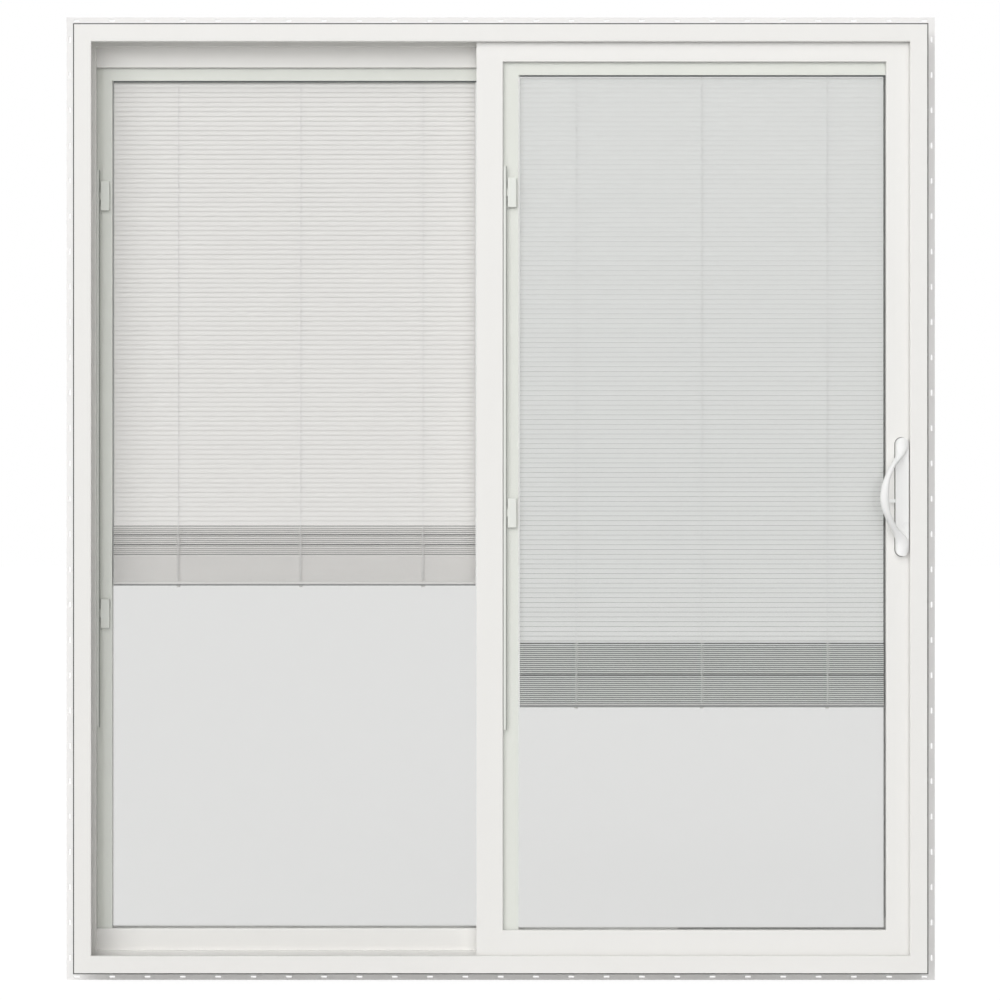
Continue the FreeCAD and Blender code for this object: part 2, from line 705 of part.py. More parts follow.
def make_slider(prefix, opening, front, lift_rise):
    """The track beside the blind's cover, and the tilt and lift tabs that run in it."""
    glass = front + GLASS_SETBACK
    x0 = opening[0] + TRACK_INSET
    x1 = x0 + TRACK_WIDTH
    track_front = glass - TRACK_DEPTH
    groove_middle = track_front + TRACK_DEPTH / 2
    groove = block(
        x1 - TRACK_GROOVE_DEPTH,
        x1,
        groove_middle - TRACK_GROOVE_HEIGHT / 2,
        groove_middle + TRACK_GROOVE_HEIGHT / 2,
        TRACK_BOTTOM + TRACK_END_STOP,
        TRACK_TOP - TRACK_END_STOP,
    )
    body = block(x0, x1, track_front, glass, TRACK_BOTTOM, TRACK_TOP)
    nodes[prefix + "_slider_track"] = body.cut(groove)
    tongue_half = TRACK_GROOVE_HEIGHT / 2 - TAB_RUNNING_GAP
    face0 = x1 + TAB_OFFSET
    for name, z_top in (
        ("_tilt_tab", TRACK_TOP - TILT_TAB_DROP),
        ("_lift_tab", TRACK_BOTTOM + lift_rise),
    ):
        z0 = z_top - TAB_LENGTH
        plate = block(
            face0,
            face0 + TAB_WIDTH,
            glass - TAB_RUNNING_GAP - TAB_DEPTH,
            glass - TAB_RUNNING_GAP,
            z0,
            z_top,
        )
        plate = plate.makeFillet(TAB_ROUND, front_edges(plate))
        tongue = block(
            x1 - TRACK_GROOVE_DEPTH + TAB_RUNNING_GAP,
            face0 + TAB_WIDTH / 2,
            groove_middle - tongue_half,
            groove_middle + tongue_half,
            z_top - (TAB_LENGTH + TAB_STEM) / 2,
            z_top - (TAB_LENGTH - TAB_STEM) / 2,
        )
        nodes[prefix + name] = plate.fuse(tongue).removeSplitter()


def front_edges(shape):
    """The edges of a shape's face that the room sees."""
    nearest = shape.BoundBox.YMin
    return [e for e in shape.Edges if e.BoundBox.YMax < nearest + 0.01]


def stadium(x, z, width, length, depth0, depth1):
    """A plate with two full-round ends."""
    radius = width / 2
    half = length / 2
    outline = rounded_outline(
        [
            (x - radius, z - half, radius * 0.999),
            (x + radius, z - half, radius * 0.999),
            (x + radius, z + half, radius * 0.999),
            (x - radius, z + half, radius * 0.999),
        ],
        lambda a, b: at(a, depth0, b),
    )
    return Part.Face(outline).extrude(FreeCAD.Vector(0, depth1 - depth0, 0))


def grip_station(share, left, width, standoff):
    """One level ellipse of the grip."""
    height = HANDLE_HEIGHT + share * PLATE_LENGTH / 2
    middle = at(HANDLE_X + left + width / 2, PLATE_FRONT - standoff, height)
    across, deep = width / 2, GRIP_DEPTH / 2
    long_axis = FreeCAD.Vector(1, 0, 0)
    if deep > across:
        across, deep = deep, across
        long_axis = FreeCAD.Vector(0, 1, 0)
    ellipse = Part.Ellipse(FreeCAD.Vector(0, 0, 0), across, deep)
    edge = ellipse.toShape()
    turn = FreeCAD.Rotation(FreeCAD.Vector(1, 0, 0), long_axis)
    edge.Placement = FreeCAD.Placement(middle, turn)
    return Part.Wire([edge])


def grip_envelope():
    """The room in front of the plate's outline, open to the left between its round ends."""
    radius = PLATE_WIDTH / 2
    half = PLATE_LENGTH / 2
    left, right = HANDLE_X - radius, HANDLE_X + radius
    low, high = HANDLE_HEIGHT - half, HANDLE_HEIGHT + half
    nearly = radius * 0.999
    before = PLATE_FRONT - GRIP_DEPTH - max(s[3] for s in GRIP_STATIONS)
    outline = rounded_outline(
        [
            (left, low, nearly),
            (right, low, nearly),
            (right, high, nearly),
            (left, high, nearly),
            (left, high - PLATE_WIDTH),
            (left - half, high - PLATE_WIDTH),
            (left - half, low + PLATE_WIDTH),
            (left, low + PLATE_WIDTH),
        ],
        lambda a, b: at(a, before, b),
    )
    return Part.Face(outline).extrude(FreeCAD.Vector(0, PLATE_FRONT - before, 0))


def make_handle():
    """The backplate, the bowed grip and the latch lever on the room side."""
    plate = stadium(
        HANDLE_X, HANDLE_HEIGHT, PLATE_WIDTH, PLATE_LENGTH, PLATE_FRONT, SLIDING_DEPTH
    )
    hollow = stadium(
        HANDLE_X,
        HANDLE_HEIGHT,
        PLATE_WIDTH - 2 * PLATE_WALL,
        PLATE_LENGTH - 2 * PLATE_WALL,
        PLATE_FRONT + PLATE_WALL,
        SLIDING_DEPTH,
    )
    pin = Part.makeCylinder(
        LEVER_PIN_RADIUS,
        PLATE_THICKNESS - PLATE_WALL / 2,
        at(HANDLE_X, PLATE_FRONT + PLATE_WALL / 2, LEVER_Z),
        FreeCAD.Vector(0, 1, 0),
    )
    wall_reach = PLATE_WIDTH / 2
    swing = wall_reach * math.tan(math.radians(LEVER_TURN))
    tall = LEVER_HEIGHT / 2 / math.cos(math.radians(LEVER_TURN))
    window = block(
        HANDLE_X - PLATE_WIDTH,
        HANDLE_X - PLATE_WIDTH / 2 + PLATE_WALL + 1,
        PLATE_FRONT + PLATE_WALL,
        PLATE_FRONT + PLATE_WALL + LEVER_GAP + LEVER_THICKNESS + 1,
        LEVER_Z - swing - tall - LEVER_SLOT_GAP,
        LEVER_Z + LEVER_HEIGHT / 2 + LEVER_SLOT_GAP,
    )
    nodes["inside_handle_plate"] = plate.cut(hollow).fuse(pin).cut(window).removeSplitter()

    loft = Part.makeLoft([grip_station(*s) for s in GRIP_STATIONS], True, False)
    nodes["inside_handle_grip"] = loft.common(grip_envelope())

    arm_front = PLATE_FRONT + PLATE_WALL + LEVER_GAP
    along = FreeCAD.Vector(0, 1, 0)
    hub = Part.makeCylinder(
        LEVER_HUB_RADIUS,
        SLIDING_DEPTH - LEVER_GAP - arm_front,
        at(HANDLE_X, arm_front, LEVER_Z),
        along,
    )
    arm = block(
        HANDLE_X - LEVER_REACH + LEVER_HEIGHT / 2,
        HANDLE_X,
        arm_front,
        arm_front + LEVER_THICKNESS,
        LEVER_Z - LEVER_HEIGHT / 2,
        LEVER_Z + LEVER_HEIGHT / 2,
    )
    tip = Part.makeCylinder(
        LEVER_HEIGHT / 2,
        LEVER_THICKNESS,
        at(HANDLE_X - LEVER_REACH + LEVER_HEIGHT / 2, arm_front, LEVER_Z),
        along,
    )
    bore = Part.makeCylinder(
        LEVER_PIN_RADIUS + LEVER_PIN_GAP,
        PLATE_THICKNESS,
        at(HANDLE_X, arm_front, LEVER_Z),
        along,
    )
    nodes["latch_lever"] = hub.fuse(arm).fuse(tip).cut(bore).removeSplitter()


def make_outside_handle():
    """A plain bow pull on a slim plate on the outdoor face of the lock stile."""
    face = SLIDING_DEPTH + PANEL_THICKNESS
    plate = stadium(
        HANDLE_X,
        HANDLE_HEIGHT,
        PULL_PLATE_WIDTH,
        PULL_PLATE_LENGTH,
        face,
        face + PULL_PLATE_THICKNESS,
    )
    reach = face + PULL_PROJECTION - PULL_GRIP_DEPTH / 2
    low = HANDLE_HEIGHT - PULL_LENGTH / 2
    high = HANDLE_HEIGHT + PULL_LENGTH / 2
    bend = PULL_BEND * (1 - math.sqrt(0.5))
    foot = face + PULL_PLATE_THICKNESS / 2
    path = Part.Wire(
        [
            Part.makeLine(at(HANDLE_X, foot, high), at(HANDLE_X, reach - PULL_BEND, high)),
            Part.Arc(
                at(HANDLE_X, reach - PULL_BEND, high),
                at(HANDLE_X, reach - bend, high - bend),
                at(HANDLE_X, reach, high - PULL_BEND),
            ).toShape(),
            Part.makeLine(
                at(HANDLE_X, reach, high - PULL_BEND), at(HANDLE_X, reach, low + PULL_BEND)
            ),
            Part.Arc(
                at(HANDLE_X, reach, low + PULL_BEND),
                at(HANDLE_X, reach - bend, low + bend),
                at(HANDLE_X, reach - PULL_BEND, low),
            ).toShape(),
            Part.makeLine(at(HANDLE_X, reach - PULL_BEND, low), at(HANDLE_X, foot, low)),
        ]
    )
    ellipse = Part.Ellipse(
        FreeCAD.Vector(0, 0, 0), PULL_GRIP_WIDTH / 2, PULL_GRIP_DEPTH / 2
    ).toShape()
    turn = FreeCAD.Rotation(FreeCAD.Vector(1, 0, 0), 90)
    ellipse.Placement = FreeCAD.Placement(at(HANDLE_X, foot, high), turn)
    grip = path.makePipeShell([Part.Wire([ellipse])], True, False)
    nodes["outside_handle"] = plate.fuse(grip).removeSplitter()


def make_lock():
    """The lock case in the stile's edge and the keeper on the jamb."""
    middle = SLIDING_DEPTH + PANEL_THICKNESS / 2
    edge = SLIDING_OUTER[1]
    face = block(
        edge - LOCK_FACE_THICKNESS,
        edge,
        middle - LOCK_FACE_WIDTH / 2,
        middle + LOCK_FACE_WIDTH / 2,
        HANDLE_HEIGHT - LOCK_FACE_LENGTH / 2,
        HANDLE_HEIGHT + LOCK_FACE_LENGTH / 2,
    )
    case = block(
        edge - LOCK_CASE_REACH,
        edge - LOCK_FACE_THICKNESS,
        middle - LOCK_CASE_WIDTH / 2,
        middle + LOCK_CASE_WIDTH / 2,
        HANDLE_HEIGHT - LOCK_CASE_LENGTH / 2,
        HANDLE_HEIGHT + LOCK_CASE_LENGTH / 2,
    )
    nodes["sliding_lock_stile"] = nodes["sliding_lock_stile"].cut(face).cut(case)
    mouth = block(
        edge - LOCK_CASE_REACH / 2,
        edge,
        middle - KEEPER_SLOT_WIDTH / 2,
        middle + KEEPER_SLOT_WIDTH / 2,
        HANDLE_HEIGHT - KEEPER_SLOT_LENGTH / 2,
        HANDLE_HEIGHT + KEEPER_SLOT_LENGTH / 2,
    )
    nodes["lock_case"] = fuse([face, case]).cut(mouth)
    wall = FRAME_OUTER[1] - CHANNEL_FLOOR
    keeper = block(
        wall - KEEPER_THICKNESS,
        wall,
        middle - KEEPER_WIDTH / 2,
        middle + KEEPER_WIDTH / 2,
        HANDLE_HEIGHT - KEEPER_LENGTH / 2,
        HANDLE_HEIGHT + KEEPER_LENGTH / 2,
    )
    slot = block(
        wall - KEEPER_THICKNESS,
        wall,
        middle - KEEPER_SLOT_WIDTH / 2,
        middle + KEEPER_SLOT_WIDTH / 2,
        HANDLE_HEIGHT - KEEPER_SLOT_LENGTH / 2,
        HANDLE_HEIGHT + KEEPER_SLOT_LENGTH / 2,
    )
    nodes["lock_keeper"] = keeper.cut(slot)


make_frame()
make_fixed_panel()
make_sliding_panel()
make_rollers()
for prefix, opening, front, drop, stack, looseness, ladders, lift_rise in (
    (
        "fixed",
        FIXED_OPENING,
        FIXED_DEPTH,
        FIXED_BLIND_DROP,
        FIXED_STACK_HEIGHT,
        FIXED_STACK_LOOSENESS,
        FIXED_LADDER_INSETS,
        FIXED_LIFT_TAB_RISE,
    ),
    (
        "sliding",
        SLIDING_OPENING,
        SLIDING_DEPTH,
        SLIDING_BLIND_DROP,
        SLIDING_STACK_HEIGHT,
        SLIDING_STACK_LOOSENESS,
        SLIDING_LADDER_INSETS,
        SLIDING_LIFT_TAB_RISE,
    ),
):
    make_glass(prefix, opening, front)
    make_blind(prefix, opening, front, drop, stack, looseness, ladders)
    make_slider(prefix, opening, front, lift_rise)
make_handle()
make_outside_handle()
make_lock()

for name, shape in nodes.items():
    shape.exportStep("parts/" + name + ".step")
    print(name, len(shape.Solids), shape.isValid(), round(shape.Volume / 1000, 1), "cm3")
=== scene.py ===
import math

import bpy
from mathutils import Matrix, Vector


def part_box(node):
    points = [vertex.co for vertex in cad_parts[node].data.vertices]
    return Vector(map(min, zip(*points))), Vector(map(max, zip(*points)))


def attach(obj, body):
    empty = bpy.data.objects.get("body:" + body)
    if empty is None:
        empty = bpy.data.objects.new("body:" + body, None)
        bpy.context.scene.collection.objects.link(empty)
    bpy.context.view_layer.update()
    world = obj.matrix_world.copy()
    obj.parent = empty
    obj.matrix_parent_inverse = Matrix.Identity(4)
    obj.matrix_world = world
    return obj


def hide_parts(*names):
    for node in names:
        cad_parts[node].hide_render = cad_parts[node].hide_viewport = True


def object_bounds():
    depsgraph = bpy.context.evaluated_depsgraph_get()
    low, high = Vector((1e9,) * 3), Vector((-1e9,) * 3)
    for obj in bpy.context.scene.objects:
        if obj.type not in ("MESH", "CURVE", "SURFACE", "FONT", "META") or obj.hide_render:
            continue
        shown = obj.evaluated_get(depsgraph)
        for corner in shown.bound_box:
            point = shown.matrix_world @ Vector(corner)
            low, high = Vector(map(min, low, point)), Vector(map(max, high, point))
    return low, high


bl_info = {
    "name": "Sliding patio door with blinds in the glass",
    "version": (1, 0, 0),
    "blender": (4, 5, 0),
    "location": "3D View > Sidebar > Patio Door",
    "description": "Finishes a two-panel sliding patio door and sets it in a plain studio",
    "category": "Object",
}

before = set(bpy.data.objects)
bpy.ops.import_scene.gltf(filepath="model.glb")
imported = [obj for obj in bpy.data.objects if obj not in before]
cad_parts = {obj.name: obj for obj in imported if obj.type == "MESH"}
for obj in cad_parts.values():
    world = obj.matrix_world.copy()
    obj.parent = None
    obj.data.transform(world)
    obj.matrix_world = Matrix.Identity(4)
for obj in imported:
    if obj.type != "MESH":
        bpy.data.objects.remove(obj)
cad_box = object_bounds()

ROOM_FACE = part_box("frame_head")[0].y
FRAME_LOW, FRAME_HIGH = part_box("frame_jamb_left")[0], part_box("frame_jamb_right")[1]

# The body that each panel rides on, and the stiles left and right of its glass.
PANELS = {"fixed": "frame", "sliding": "sliding_panel"}
STILES = {
    "fixed": ("fixed_jamb_stile", "fixed_meeting_stile"),
    "sliding": ("sliding_interlock_stile", "sliding_lock_stile"),
}

# The slack cord's loops: their reach as parts of the longest one, and for the left and
# the right side how many pitches above the rail the lowest one hangs.
SLACK_PARTS = (1.0, 0.65, 0.85)
SLACK_LIFTS = ((-1, 0.6), (1, 1.1))


def length(name, description, default):
    """A setting in metres."""
    return bpy.props.FloatProperty(
        name=name, description=description, default=default, unit="LENGTH"
    )


def angle(name, description, default):
    """A setting in radians, shown in degrees."""
    return bpy.props.FloatProperty(
        name=name, description=description, default=default, subtype="ANGLE"
    )


def amount(name, description, default):
    """A setting without a unit."""
    return bpy.props.FloatProperty(name=name, description=description, default=default)


def share(name, description, default):
    """A setting from 0 to 1."""
    return bpy.props.FloatProperty(
        name=name, description=description, default=default, min=0.0, max=1.0, subtype="FACTOR"
    )


def number(name, description, default):
    """A setting that is a whole number."""
    return bpy.props.IntProperty(name=name, description=description, default=default)


def tint(name, description, default):
    """A setting that is a colour."""
    return bpy.props.FloatVectorProperty(
        name=name, description=description, default=default, subtype="COLOR"
    )


class DoorSizes(bpy.types.PropertyGroup):
    """Sizes of the pieces that are modelled here."""

    slat_width: length("Slat width", "Chord of one blind slat", 0.0127)
    slat_crown: length(
        "Slat crown", "How far a slat's middle stands above its edges", 0.0006
    )
    slat_gauge: length("Slat gauge", "Thickness of the slats' sheet", 0.00025)
    slat_pitch: length("Slat pitch", "Distance from one hanging slat to the next", 0.01028)
    sliding_drop: length(
        "Sliding drop",
        "From the blind's head down to the sliding panel's first slat",
        0.0044,
    )
    fixed_drop: length(
        "Fixed drop", "From the blind's head down to the fixed panel's first slat", 0.001
    )
    sliding_tilt: angle(
        "Sliding tilt",
        "Turn of the sliding panel's hanging slats; below 0 the room-side edge is up",
        math.radians(-79),
    )
    fixed_tilt: angle(
        "Fixed tilt",
        "Turn of the fixed panel's hanging slats; above 0 the room-side edge is down",
        math.radians(79.5),
    )
    # Painted shadow: height of the strip at the foot of each sliding slat that is painted dark
    # where the slats lap.
    lap_shadow_height: length(
        "Lap height",
        "Height of the dusty strip along the foot of the sliding panel's slats",
        0.0026,
    )
    slat_count: number("Slats", "Slats in each blind", 180)
    sliding_stack: length(
        "Sliding stack", "Height of the gathered slats in the sliding panel", 0.129
    )
    fixed_stack: length(
        "Fixed stack", "Height of the gathered slats in the fixed panel", 0.1233
    )
    stack_tilt: angle(
        "Stack tilt", "How far the gathered slats lean to the room", math.radians(34)
    )
    nest: length("Nest", "Distance between two slats that lie on each other", 0.0006)
    stack_rest: length(
        "Stack rest", "Height of the lowest gathered slat above the blind's rail", 0.0004
    )
    # Painted shade: where on the gathered slats, from their front edge, the painted shade
    # between them begins and where it is full.
    sliding_shade_band: bpy.props.FloatVectorProperty(
        name="Sliding dust",
        description="Where the dust begins and where it is full, from the slats' front edge",
        size=2,
        default=(0.0023, 0.0034),
        unit="LENGTH",
    )
    fixed_shade_band: bpy.props.FloatVectorProperty(
        name="Fixed dust",
        description="The same in the fixed panel's gathered slats",
        size=2,
        default=(0.0036, 0.0068),
        unit="LENGTH",
    )
    pair_pitch: length(
        "Pair pitch",
        "Distance between the pairs of slats in the sliding panel's stack",
        0.00427,
    )
    loose_pitch: length(
        "Loose pitch", "Distance between the loosely gathered slats", 0.00427
    )
    loose_slats: number(
        "Loose slats", "Slats that lie loosely on top of the fixed panel's stack", 15
    )
    slipped_every: number("Slipped every", "One loose slat in this many lies back", 5)
    slipped_back: length("Slipped back", "How far that loose slat lies back", 0.0022)
    slipped_pair: number(
        "Slipped pair",
        "Which pair of the sliding panel's stack lies back, from the lowest up",
        14,
    )
    pair_slip: length("Pair slip", "How far that pair lies back", 0.0016)
    slack_reach: length(
        "Slack reach", "How far the loops of slack ladder cord stand out sideways", 0.0036
    )
    slack_thread: length("Slack thread", "Thickness of those loops", 0.00055)
    gasket_width: length(
        "Gasket width", "Width of the glazing gasket that shows beside the bead", 0.0005
    )
    gasket_depth: length("Gasket depth", "How far that gasket stands off the pane", 0.001)
    # Painted shadow: the dark strip under the blind's head stands for the shade there.
    head_shadow_strip: length("Head lip", "Height of the dark lip under the blind's head", 0.0032)
    lip_depth: length("Lip depth", "Thickness of the dark lip under the blind's head", 0.001)
    # Painted shade: the dark bands on the blinds' rails stand for the shade in and above the
    # rail's channel.
    sliding_rail_lip: length(
        "Sliding rail lip",
        "Height of the shaded channel on the sliding blind's rail",
        0.0049,
    )
    rail_stand: length(
        "Rail stand",
        "How far the sliding blind's rail stands up before its lowest slats",
        0.0011,
    )
    rail_face: length("Rail face", "Height of the bare band above that channel", 0.0017)
    fixed_rail_lip: length(
        "Fixed rail lip", "Height of the shaded channel on the fixed blind's rail", 0.0036
    )
    rail_lip_depth: length(
        "Rail lip depth", "Thickness of the bands on the blinds' rails", 0.0006
    )
    rail_lip_bevel: length("Rail lip bevel", "Softened edge of those bands", 0.0001)
    plug_height: length(
        "Plug height", "How far the cord plugs reach below the blind's rail", 0.003
    )
    # The felt is a seal, and its dark grey is also painted shadow for the track's groove.
    felt_width: length("Felt width", "Width of the seal beside the slider track", 0.0018)
    felt_depth: length("Felt depth", "Thickness of that seal", 0.0012)
    felt_step: length("Felt step", "How far that seal lies behind the track's face", 0.0002)
    strip_bevel: length(
        "Strip bevel", "Softened edge of the felt and of the cavity's edge", 0.0002
    )
    # The handle's gasket is real foam, and its reveal and dark grey also stand for the shadow
    # round the plate as painted shadow.
    gasket_reveal: length(
        "Gasket reveal", "How far the handle's gasket shows past its plate", 0.0014
    )
    foam_depth: length("Foam depth", "Thickness of the handle's gasket", 0.0008)
    # Painted shadow: the cavity's dark edge past the slats stands for the shade in that recess.
    shadow_gap: length(
        "Cavity edge", "Width of the dark edge that shows past the slats", 0.0024
    )
    shadow_depth: length("Cavity edge depth", "Thickness of that dark edge", 0.002)
    rung_thickness: length(
        "Rung thickness", "Thickness of the ladder cords' cross threads", 0.0005
    )
    # Painted shade: the rebate round the frame's face is painted dark for its shadow line.
    rebate_shade_width: length("Seam width", "Width of the rebate round the frame's face", 0.0027)
    rebate_shade_depth: length("Seam depth", "How far back that rebate is dark", 0.0036)


class DoorColours(bpy.types.PropertyGroup):
    """Colours of the door's finishes."""

    vinyl: tint("Vinyl", "Frame and panel extrusions", (0.845, 0.835, 0.81))
    fin: tint("Nailing fin", "Thin vinyl strip round the frame", (0.85, 0.84, 0.83))
    # Painted shade: this near-black colour stands for the shadow line in the rebate round the
    # frame's face.
    seam: tint(
        "Frame seam", "Rebate round the edge of the frame's face", (0.03, 0.03, 0.03)
    )
    sliding_slats: tint(
        "Sliding slats", "Painted slats of the sliding panel's blind", (0.795, 0.8, 0.792)
    )
    fixed_slats: tint(
        "Fixed slats", "Painted slats of the fixed panel's blind", (0.785, 0.768, 0.755)
    )
    sliding_stack: tint(
        "Sliding stack", "Gathered slats of the sliding panel", (0.79, 0.803, 0.788)
    )
    fixed_stack: tint(
        "Fixed stack", "Gathered slats of the fixed panel", (0.83, 0.813, 0.798)
    )
    # Painted shade: how bright the painted shade between the gathered slats leaves the paint.
    sliding_shade: share(
        "Sliding shade", "Brightness that the dust leaves between the gathered slats", 0.04
    )
    fixed_shade: share("Fixed shade", "The same in the fixed panel", 0.22)
    # Painted shadow: how bright the painted shadow leaves the paint where the hanging slats lap.
    lap_shade: share(
        "Lap shade", "Brightness that the dust leaves where the hanging slats lap", 0.05
    )
    # Painted shade: a shaded copy of the sliding stack's colour, for the bands on the blinds'
    # rails.
    rail_shade: share("Rail shade", "Brightness left in the channel of the blinds' rails", 0.28)
    blind_rail: tint("Blind rail", "Bottom rails of the blinds", (0.69, 0.675, 0.66))
    cover: tint(
        "Blind cover", "Strips over the blind's head and lift cords", (0.809, 0.819, 0.77)
    )
    cords: tint("Ladder cords", "Braided cords that carry the slats", (0.86, 0.86, 0.86))
    gasket: tint("Gasket", "Grey glazing gasket beside the bead", (0.8, 0.8, 0.78))
    # Partly the foam's own grey, partly painted shadow round the handle's plate.
    foam: tint("Foam", "Grey gasket under the handle's plate", (0.16, 0.165, 0.16))
    # The felt's dark grey is partly its own colour and partly painted shadow for the track's
    # groove.
    felt: tint("Felt", "Grey lip that closes the slider track's groove", (0.32, 0.33, 0.31))
    # Painted shadow: this near-black colour stands for the shade under the blind's head and at
    # the cavity's edge.
    cavity: tint(
        "Cavity edge", "Dark coating inside the glass, past the slats", (0.06, 0.07, 0.07)
    )
    slider: tint("Slider", "Slider track and tabs", (0.78, 0.797, 0.75))
    handle: tint("Handle", "Powder-coated handle set", (0.89, 0.89, 0.88))
    steel: tint("Steel", "Roller rail, keeper and lock", (0.62, 0.62, 0.61))
    rollers: tint("Rollers", "Moulded wheels", (0.08, 0.08, 0.085))
    clear_pane: tint("Clear pane", "What the room-side pane lets through", (0.985, 0.987, 0.984))
    coated_pane: tint(
        "Coated pane", "What the coated outdoor pane lets through", (0.846, 0.845, 0.843)
    )


class DoorStudio(bpy.types.PropertyGroup):
    """Camera and light."""

    lens: bpy.props.FloatProperty(
        name="Lens", description="Focal length in millimetres", default=82.13, unit="CAMERA"
    )
    stand_off: length("Camera distance", "From the camera to the frame's face", 4.841)
    aim: bpy.props.FloatVectorProperty(
        name="Camera aim",
        description="Sideways place and height of the camera",
        size=2,
        default=(-0.0015, 1.0069),
        unit="LENGTH",
    )
    fill: amount("Fill", "Strength of the even light from all round", 0.195)
    key: amount("Key", "Strength of the soft lamp", 3.02)
    key_spread: angle("Key spread", "Angle that the soft lamp fills", math.radians(80))
    key_turn: bpy.props.FloatVectorProperty(
        name="Key direction",
        description="How far the lamp stands above and left of the camera's axis",
        size=2,
        default=(math.radians(14), math.radians(18)),
        subtype="EULER",
    )
    back: amount("Back", "Strength of the lamp on the outdoor side", 1.3)
    back_spread: angle(
        "Back spread", "Angle that the outdoor side's lamp fills", math.radians(50)
    )
    back_turn: bpy.props.FloatVectorProperty(
        name="Back direction",
        description="How far that lamp stands above and beside the door's own axis",
        size=2,
        default=(math.radians(16), math.radians(164)),
        subtype="EULER",
    )
    floor_size: length("Floor size", "Width of the studio's floor", 60.0)


def settings(scene):
    """The scene's own values for sizes and colours."""
    return scene.door_sizes, scene.door_colours


def deselect():
    """Nothing is selected and the object mode is on."""
    if bpy.context.object and bpy.context.object.mode != "OBJECT":
        bpy.ops.object.mode_set(mode="OBJECT")
    bpy.ops.object.select_all(action="DESELECT")


def pick(piece):
    """Only this piece is selected, and it is the active one."""
    deselect()
    piece.select_set(True)
    bpy.context.view_layer.objects.active = piece


def node(tree, kind, **values):
    """A shader node; keyword names are input names with underscores for spaces."""
    made = tree.nodes.new(kind)
    for name, value in values.items():
        socket = name.replace("_", " ")
        if socket in made.inputs:
            made.inputs[socket].default_value = value
        else:
            setattr(made, name, value)
    return made


def place(tree, scale=(1, 1, 1)):
    """The piece's own coordinates, stretched along its axes."""
    coordinates = node(tree, "ShaderNodeTexCoord")
    mapping = node(tree, "ShaderNodeMapping", Scale=scale)
    tree.links.new(coordinates.outputs["Object"], mapping.inputs["Vector"])
    return mapping.outputs["Vector"]


def axes(tree, output):
    """The three parts of the piece's own coordinates or of its normal."""
    coordinates = node(tree, "ShaderNodeTexCoord")
    parts = node(tree, "ShaderNodeSeparateXYZ")
    tree.links.new(coordinates.outputs[output], parts.inputs["Vector"])
    return parts.outputs


def noise(tree, scale, detail=3.0, stretch=(1, 1, 1)):
    """A grey noise over the piece."""
    made = node(tree, "ShaderNodeTexNoise", Scale=scale, Detail=detail)
    tree.links.new(place(tree, stretch), made.inputs["Vector"])
    return made.outputs["Fac"]


def blended(tree, factor, low, high):
    """A colour between two, by a factor."""
    mix = node(tree, "ShaderNodeMix", data_type="RGBA")
    mix.inputs["A"].default_value = (*low, 1)
    mix.inputs["B"].default_value = (*high, 1)
    tree.links.new(factor, mix.inputs["Factor"])
    return mix.outputs["Result"]


def ranged(tree, factor, low, high, lowest=0.35, highest=0.65):
    """A value between two, as a noise goes from its usual low to its usual high."""
    made = node(tree, "ShaderNodeMapRange")
    made.inputs["From Min"].default_value = lowest
    made.inputs["From Max"].default_value = highest
    made.inputs["To Min"].default_value = low
    made.inputs["To Max"].default_value = high
    tree.links.new(factor, made.inputs["Value"])
    return made.outputs["Result"]


def math_node(tree, operation, first, second=0.0, third=0.0):
    """The result of one sum; each term is a number or a socket."""
    made = node(tree, "ShaderNodeMath", operation=operation)
    for socket, term in zip(made.inputs, (first, second, third)):
        if isinstance(term, bpy.types.NodeSocket):
            tree.links.new(term, socket)
        else:
            socket.default_value = term
    return made.outputs[0]


def material(name):
    """A new material, its tree and its shader."""
    made = bpy.data.materials.new(name)
    made.use_nodes = True
    return made, made.node_tree, made.node_tree.nodes["Principled BSDF"]


def shade(colour, factor):
    """A colour made lighter or darker."""
    return tuple(min(1.0, c * factor) for c in colour)


def bump(tree, shader, height, strength, distance):
    """Fine relief on a shader."""
    made = node(tree, "ShaderNodeBump", Strength=strength, Distance=distance)
    tree.links.new(height, made.inputs["Height"])
    tree.links.new(made.outputs["Normal"], shader.inputs["Normal"])


def clouded(tree, shader, factor, colour, low, high):
    """The paint goes between two shares of its colour, by a factor."""
    cloud = blended(tree, factor, shade(colour, low), shade(colour, high))
    tree.links.new(cloud, shader.inputs["Base Color"])


def worn(tree, shader, factor, low, high):
    """The roughness goes between two values, by a factor."""
    tree.links.new(ranged(tree, factor, low, high), shader.inputs["Roughness"])


def moulded(name, colour, roughness, relief=0.00004, grain=900.0, gloss=0.5):
    """A moulded or coated finish: faint clouding, uneven gloss and a fine skin."""
    made, tree, shader = material(name)
    cloud = noise(tree, scale=2.2, detail=2.0)
    clouded(tree, shader, cloud, colour, low=0.985, high=1.015)
    smudge = noise(tree, scale=14.0, detail=4.0)
    worn(tree, shader, smudge, low=roughness * 0.88, high=roughness * 1.12)
    bump(tree, shader, noise(tree, grain, detail=2.0), strength=0.25, distance=relief)
    shader.inputs["Specular IOR Level"].default_value = gloss
    return made


